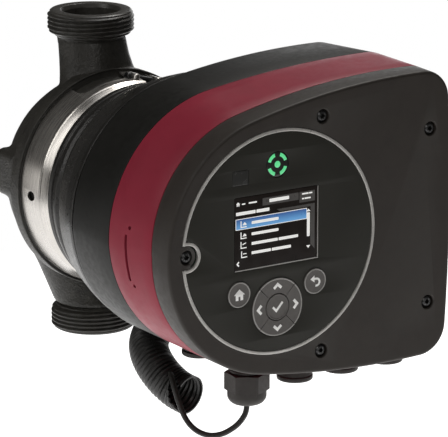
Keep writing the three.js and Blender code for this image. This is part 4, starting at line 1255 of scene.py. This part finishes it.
# ---- Cable entries and sensor ----

def blanking_plug(number, x, reach, boss_end, end):
    ledge = end + 2.6
    profile = rounded([
        (0, boss_end + 11), (7.45, boss_end + 11), (7.45, boss_end - 0.25), (9.05, boss_end - 0.35, 0.2),
        (9.05, ledge + 0.15, 0.2), (9.65, ledge, 0.3), (9.65, end + 0.05, 0.9), (0, end + 0.02),
    ], 4)
    socket = cylinder(4.6, end - 1, end + 2, upright(x, reach), 6)
    mesh = cut(turned(profile, upright(x, reach), 96), ("DIFFERENCE", socket))
    piece(f"entry_plug_{number}", mesh, CASING, "entry_plastic", PLASTIC,
          replaces=[f"blanking_plug_{number}"])


def gland():
    """A round collar, a hexagonal cap nut that ends in a dome, and the rubber grommet inside."""
    x, reach, boss_end = ENTRIES[0]
    axis = upright(x, reach)
    body = turned(rounded([
        (5.0, -84.1), (7.4, -84.1, 0.4), (7.4, -78.15), (9.35, -78.15, 0.4), (9.35, boss_end - 0.35, 0.3),
        (7.4, boss_end - 0.35), (7.4, -62, 0.4), (5.0, -62),
    ], 3), axis, 96)
    piece("gland_base", body, CASING, "entry_plastic", PLASTIC, replaces=["gland_body"])
    faced = (axis[0], axis[1], Vector((math.cos(0.464), math.sin(0.464), 0)))
    dome = turned(rounded([(0, -80), (10.4, -80), (10.4, -95.6, 4.6), (0, -95.6)], 10), axis, 120)
    socket = cylinder(7.75, -84.7, -70, axis, 64)
    mouth = turned([(0, -101), (3.6, -101), (3.6, -94.6), (4.25, -94.2), (4.25, -80), (0, -80)], axis, 64)
    prism = hexagon(10.4, -88.2, -78.55, faced, 0.3)
    nut = cut(prism, ("UNION", dome), ("DIFFERENCE", socket), ("DIFFERENCE", mouth))
    piece("gland_cap", nut, CASING, "entry_plastic", PLASTIC, replaces=["gland_nut"])
    lip = rounded([(1.85, -94.1, 0.4), (3.9, -94.1, 0.3), (3.9, -89, 0.3), (1.85, -89, 0.3)], 4)
    piece("gland_grommet", turned(lip, axis, 64), CASING, "rubber", RUBBER, replaces=["gland_seal"])


def sensor():
    stem = turned(rounded([(0, 45.2), (4.5, 45.2, 0.5), (4.5, 61), (0, 61)], 3), SENSOR_AXIS, 48)
    base = cut(hexagon(8.6, 60.35, 63.95, SENSOR_AXIS, 0.6), ("UNION", stem))
    piece("sensor_base", base, CASING, "entry_plastic", STEEL, replaces=["sensor_body"])
    ribs = [(0, 64.35), (8.1, 64.35, 0.5)]
    for i in range(5):
        t = 66 + i * 2.6
        ribs += [(8.5, t, 0.2), (8.5, t + 1.4, 0.2), (7.9, t + 1.7, 0.2), (7.9, t + 2.3, 0.2)]
    ribs += [(8.5, 79.6, 0.3), (8.5, 81.9, 1.2), (0, 81.95)]
    x, reach, z = SLEEVE_ROUTE[0]
    way_out = [(0, SENSOR_REACH), (8.5, SENSOR_REACH), (8.5, reach - 0.4, 0.8), (0, reach - 0.4)]
    snout = turned(rounded(way_out, 4), front_axis(x, z), 64)
    cap = turned(rounded(ribs, 3), SENSOR_AXIS, 72)
    piece("sensor_connector", cut(cap, ("UNION", snout)), CASING, "entry_plastic", PLASTIC,
          replaces=["sensor_plug"])


gland()
for number, (entry_x, entry_reach, entry_end) in enumerate(ENTRIES[1:], start=1):
    blanking_plug(number, entry_x, entry_reach, entry_end, PLUG_END if number < 4 else REAR_PLUG_END)
sensor()


# ---- The pieces that keep their CAD shape: inside parts and seals ----

def refinish(material, *nodes):
    for node in nodes:
        obj = bpy.data.objects[node]
        obj.data.materials.clear()
        obj.data.materials.append(material)


refinish(RUBBER, "housing_gasket", "cover_seal")
refinish(STEEL, "neck_ring", "bearing_plate", "impeller", "display_module")
refinish(finish("ceramic", (0.78, 0.75, 0.68), 0.24, (3, 0.92, 1.04), (1, 0.18, 0.3),
                bumps=[(0.004, 0.6, 0.2, 3, (0.1, 1, 0.1))]), "front_bearing", "rear_bearing", "shaft")
refinish(finish("carbon", (0.03, 0.03, 0.032), 0.5, (1.5, 0.7, 1.5), (0.6, 0.42, 0.6),
                bumps=[(0.02, 0.6, 0.25, 4)]), "thrust_bearing")
refinish(finish("can_composite", (0.035, 0.035, 0.031), 0.5, (1.2, 0.7, 1.6), (0.8, 0.42, 0.58),
                bumps=[(0.02, 0.6, 0.6, 3, (0.2, 1, 0.2))]), "rotor_can")
refinish(laminations(), "stator_core", "rotor_magnet")
refinish(windings(), "winding_rear", "winding_front", "filter_choke")
refinish(circuit_board(), "power_board", "display_board")
refinish(finish("capacitor_can", (0.62, 0.62, 0.62), 0.35, (6, 0.9, 1.05), (0.5, 0.28, 0.42, (1, 0.05, 1)),
                metallic=0.95, bumps=[(0.006, 0.6, 0.3, 2, (1, 0.05, 1))]),
         "capacitor_upper", "capacitor_lower")
refinish(PLASTIC, "terminal_block")


# ---- Stage ----

FLOOR_Z, FLOOR_R = -0.42, 1.35


def floor():
    """A glowing white table well below the part, as pale as the background."""
    f = Finish("floor_white", (0.8, 0.8, 0.8), 0.7, 0.0, Specular_IOR_Level=0.0)
    f.mottle(60, 0.99, 1.01).rough(30, 0.65, 0.75).lit((1, 1, 1), 0.97)
    bm = bmesh.new()
    bmesh.ops.create_circle(bm, cap_ends=True, segments=96, radius=FLOOR_R)
    bmesh.ops.translate(bm, vec=(0, 0, FLOOR_Z), verts=bm.verts)
    obj = as_object("floor", as_mesh(bm))
    obj.data.materials.append(f.material)


def softbox(name, place, target, width, height, power, color=(1, 1, 1)):
    light = bpy.data.lights.new(name, "AREA")
    light.shape = "RECTANGLE"
    light.size, light.size_y = width, height
    light.energy, light.color = power, color
    obj = bpy.data.objects.new(name, light)
    obj.location = place
    obj.rotation_euler = (Vector(target) - Vector(place)).to_track_quat("-Z", "Y").to_euler()
    bpy.context.scene.collection.objects.link(obj)


def studio():
    """A white background for the camera, a dim room for everything else, and softboxes."""
    world = bpy.data.worlds.new("studio")
    world.use_nodes = True
    nodes, links = world.node_tree.nodes, world.node_tree.links
    seen, room = nodes["Background"], nodes.new("ShaderNodeBackground")
    seen.inputs["Color"].default_value = (1, 1, 1, 1)
    seen.inputs["Strength"].default_value = 1.0
    room.inputs["Color"].default_value = (1, 0.97, 0.93, 1)
    room.inputs["Strength"].default_value = 0.05
    mix, path = nodes.new("ShaderNodeMixShader"), nodes.new("ShaderNodeLightPath")
    links.new(path.outputs["Is Camera Ray"], mix.inputs["Fac"])
    links.new(room.outputs["Background"], mix.inputs[1])
    links.new(seen.outputs["Background"], mix.inputs[2])
    links.new(mix.outputs["Shader"], nodes["World Output"].inputs["Surface"])
    bpy.context.scene.world = world
    middle = (0, -0.09, 0)
    softbox("strip_left", (-1.12, 0.13, 0.96), middle, 0.35, 1.5, 4.5, (1, 0.985, 0.96))
    softbox("top", (0.35, -0.1, 1.5), middle, 0.9, 0.7, 4)
    softbox("ridge_light", (0.72, 0.36, 1.22), middle, 0.45, 0.3, 7, (1, 0.97, 0.93))
    softbox("back_rim", (1.1, 1.05, 0.12), middle, 0.6, 0.9, 2.5)
    softbox("front_fill", (-0.9, -1.5, 1.0), middle, 0.7, 0.7, 5, (1, 0.98, 0.95))
    softbox("back_left", (-1.28, 0.75, -0.12), middle, 0.9, 0.5, 1.2, (1, 0.98, 0.95))


floor()
studio()
bpy.context.scene.view_settings.view_transform = "Standard"
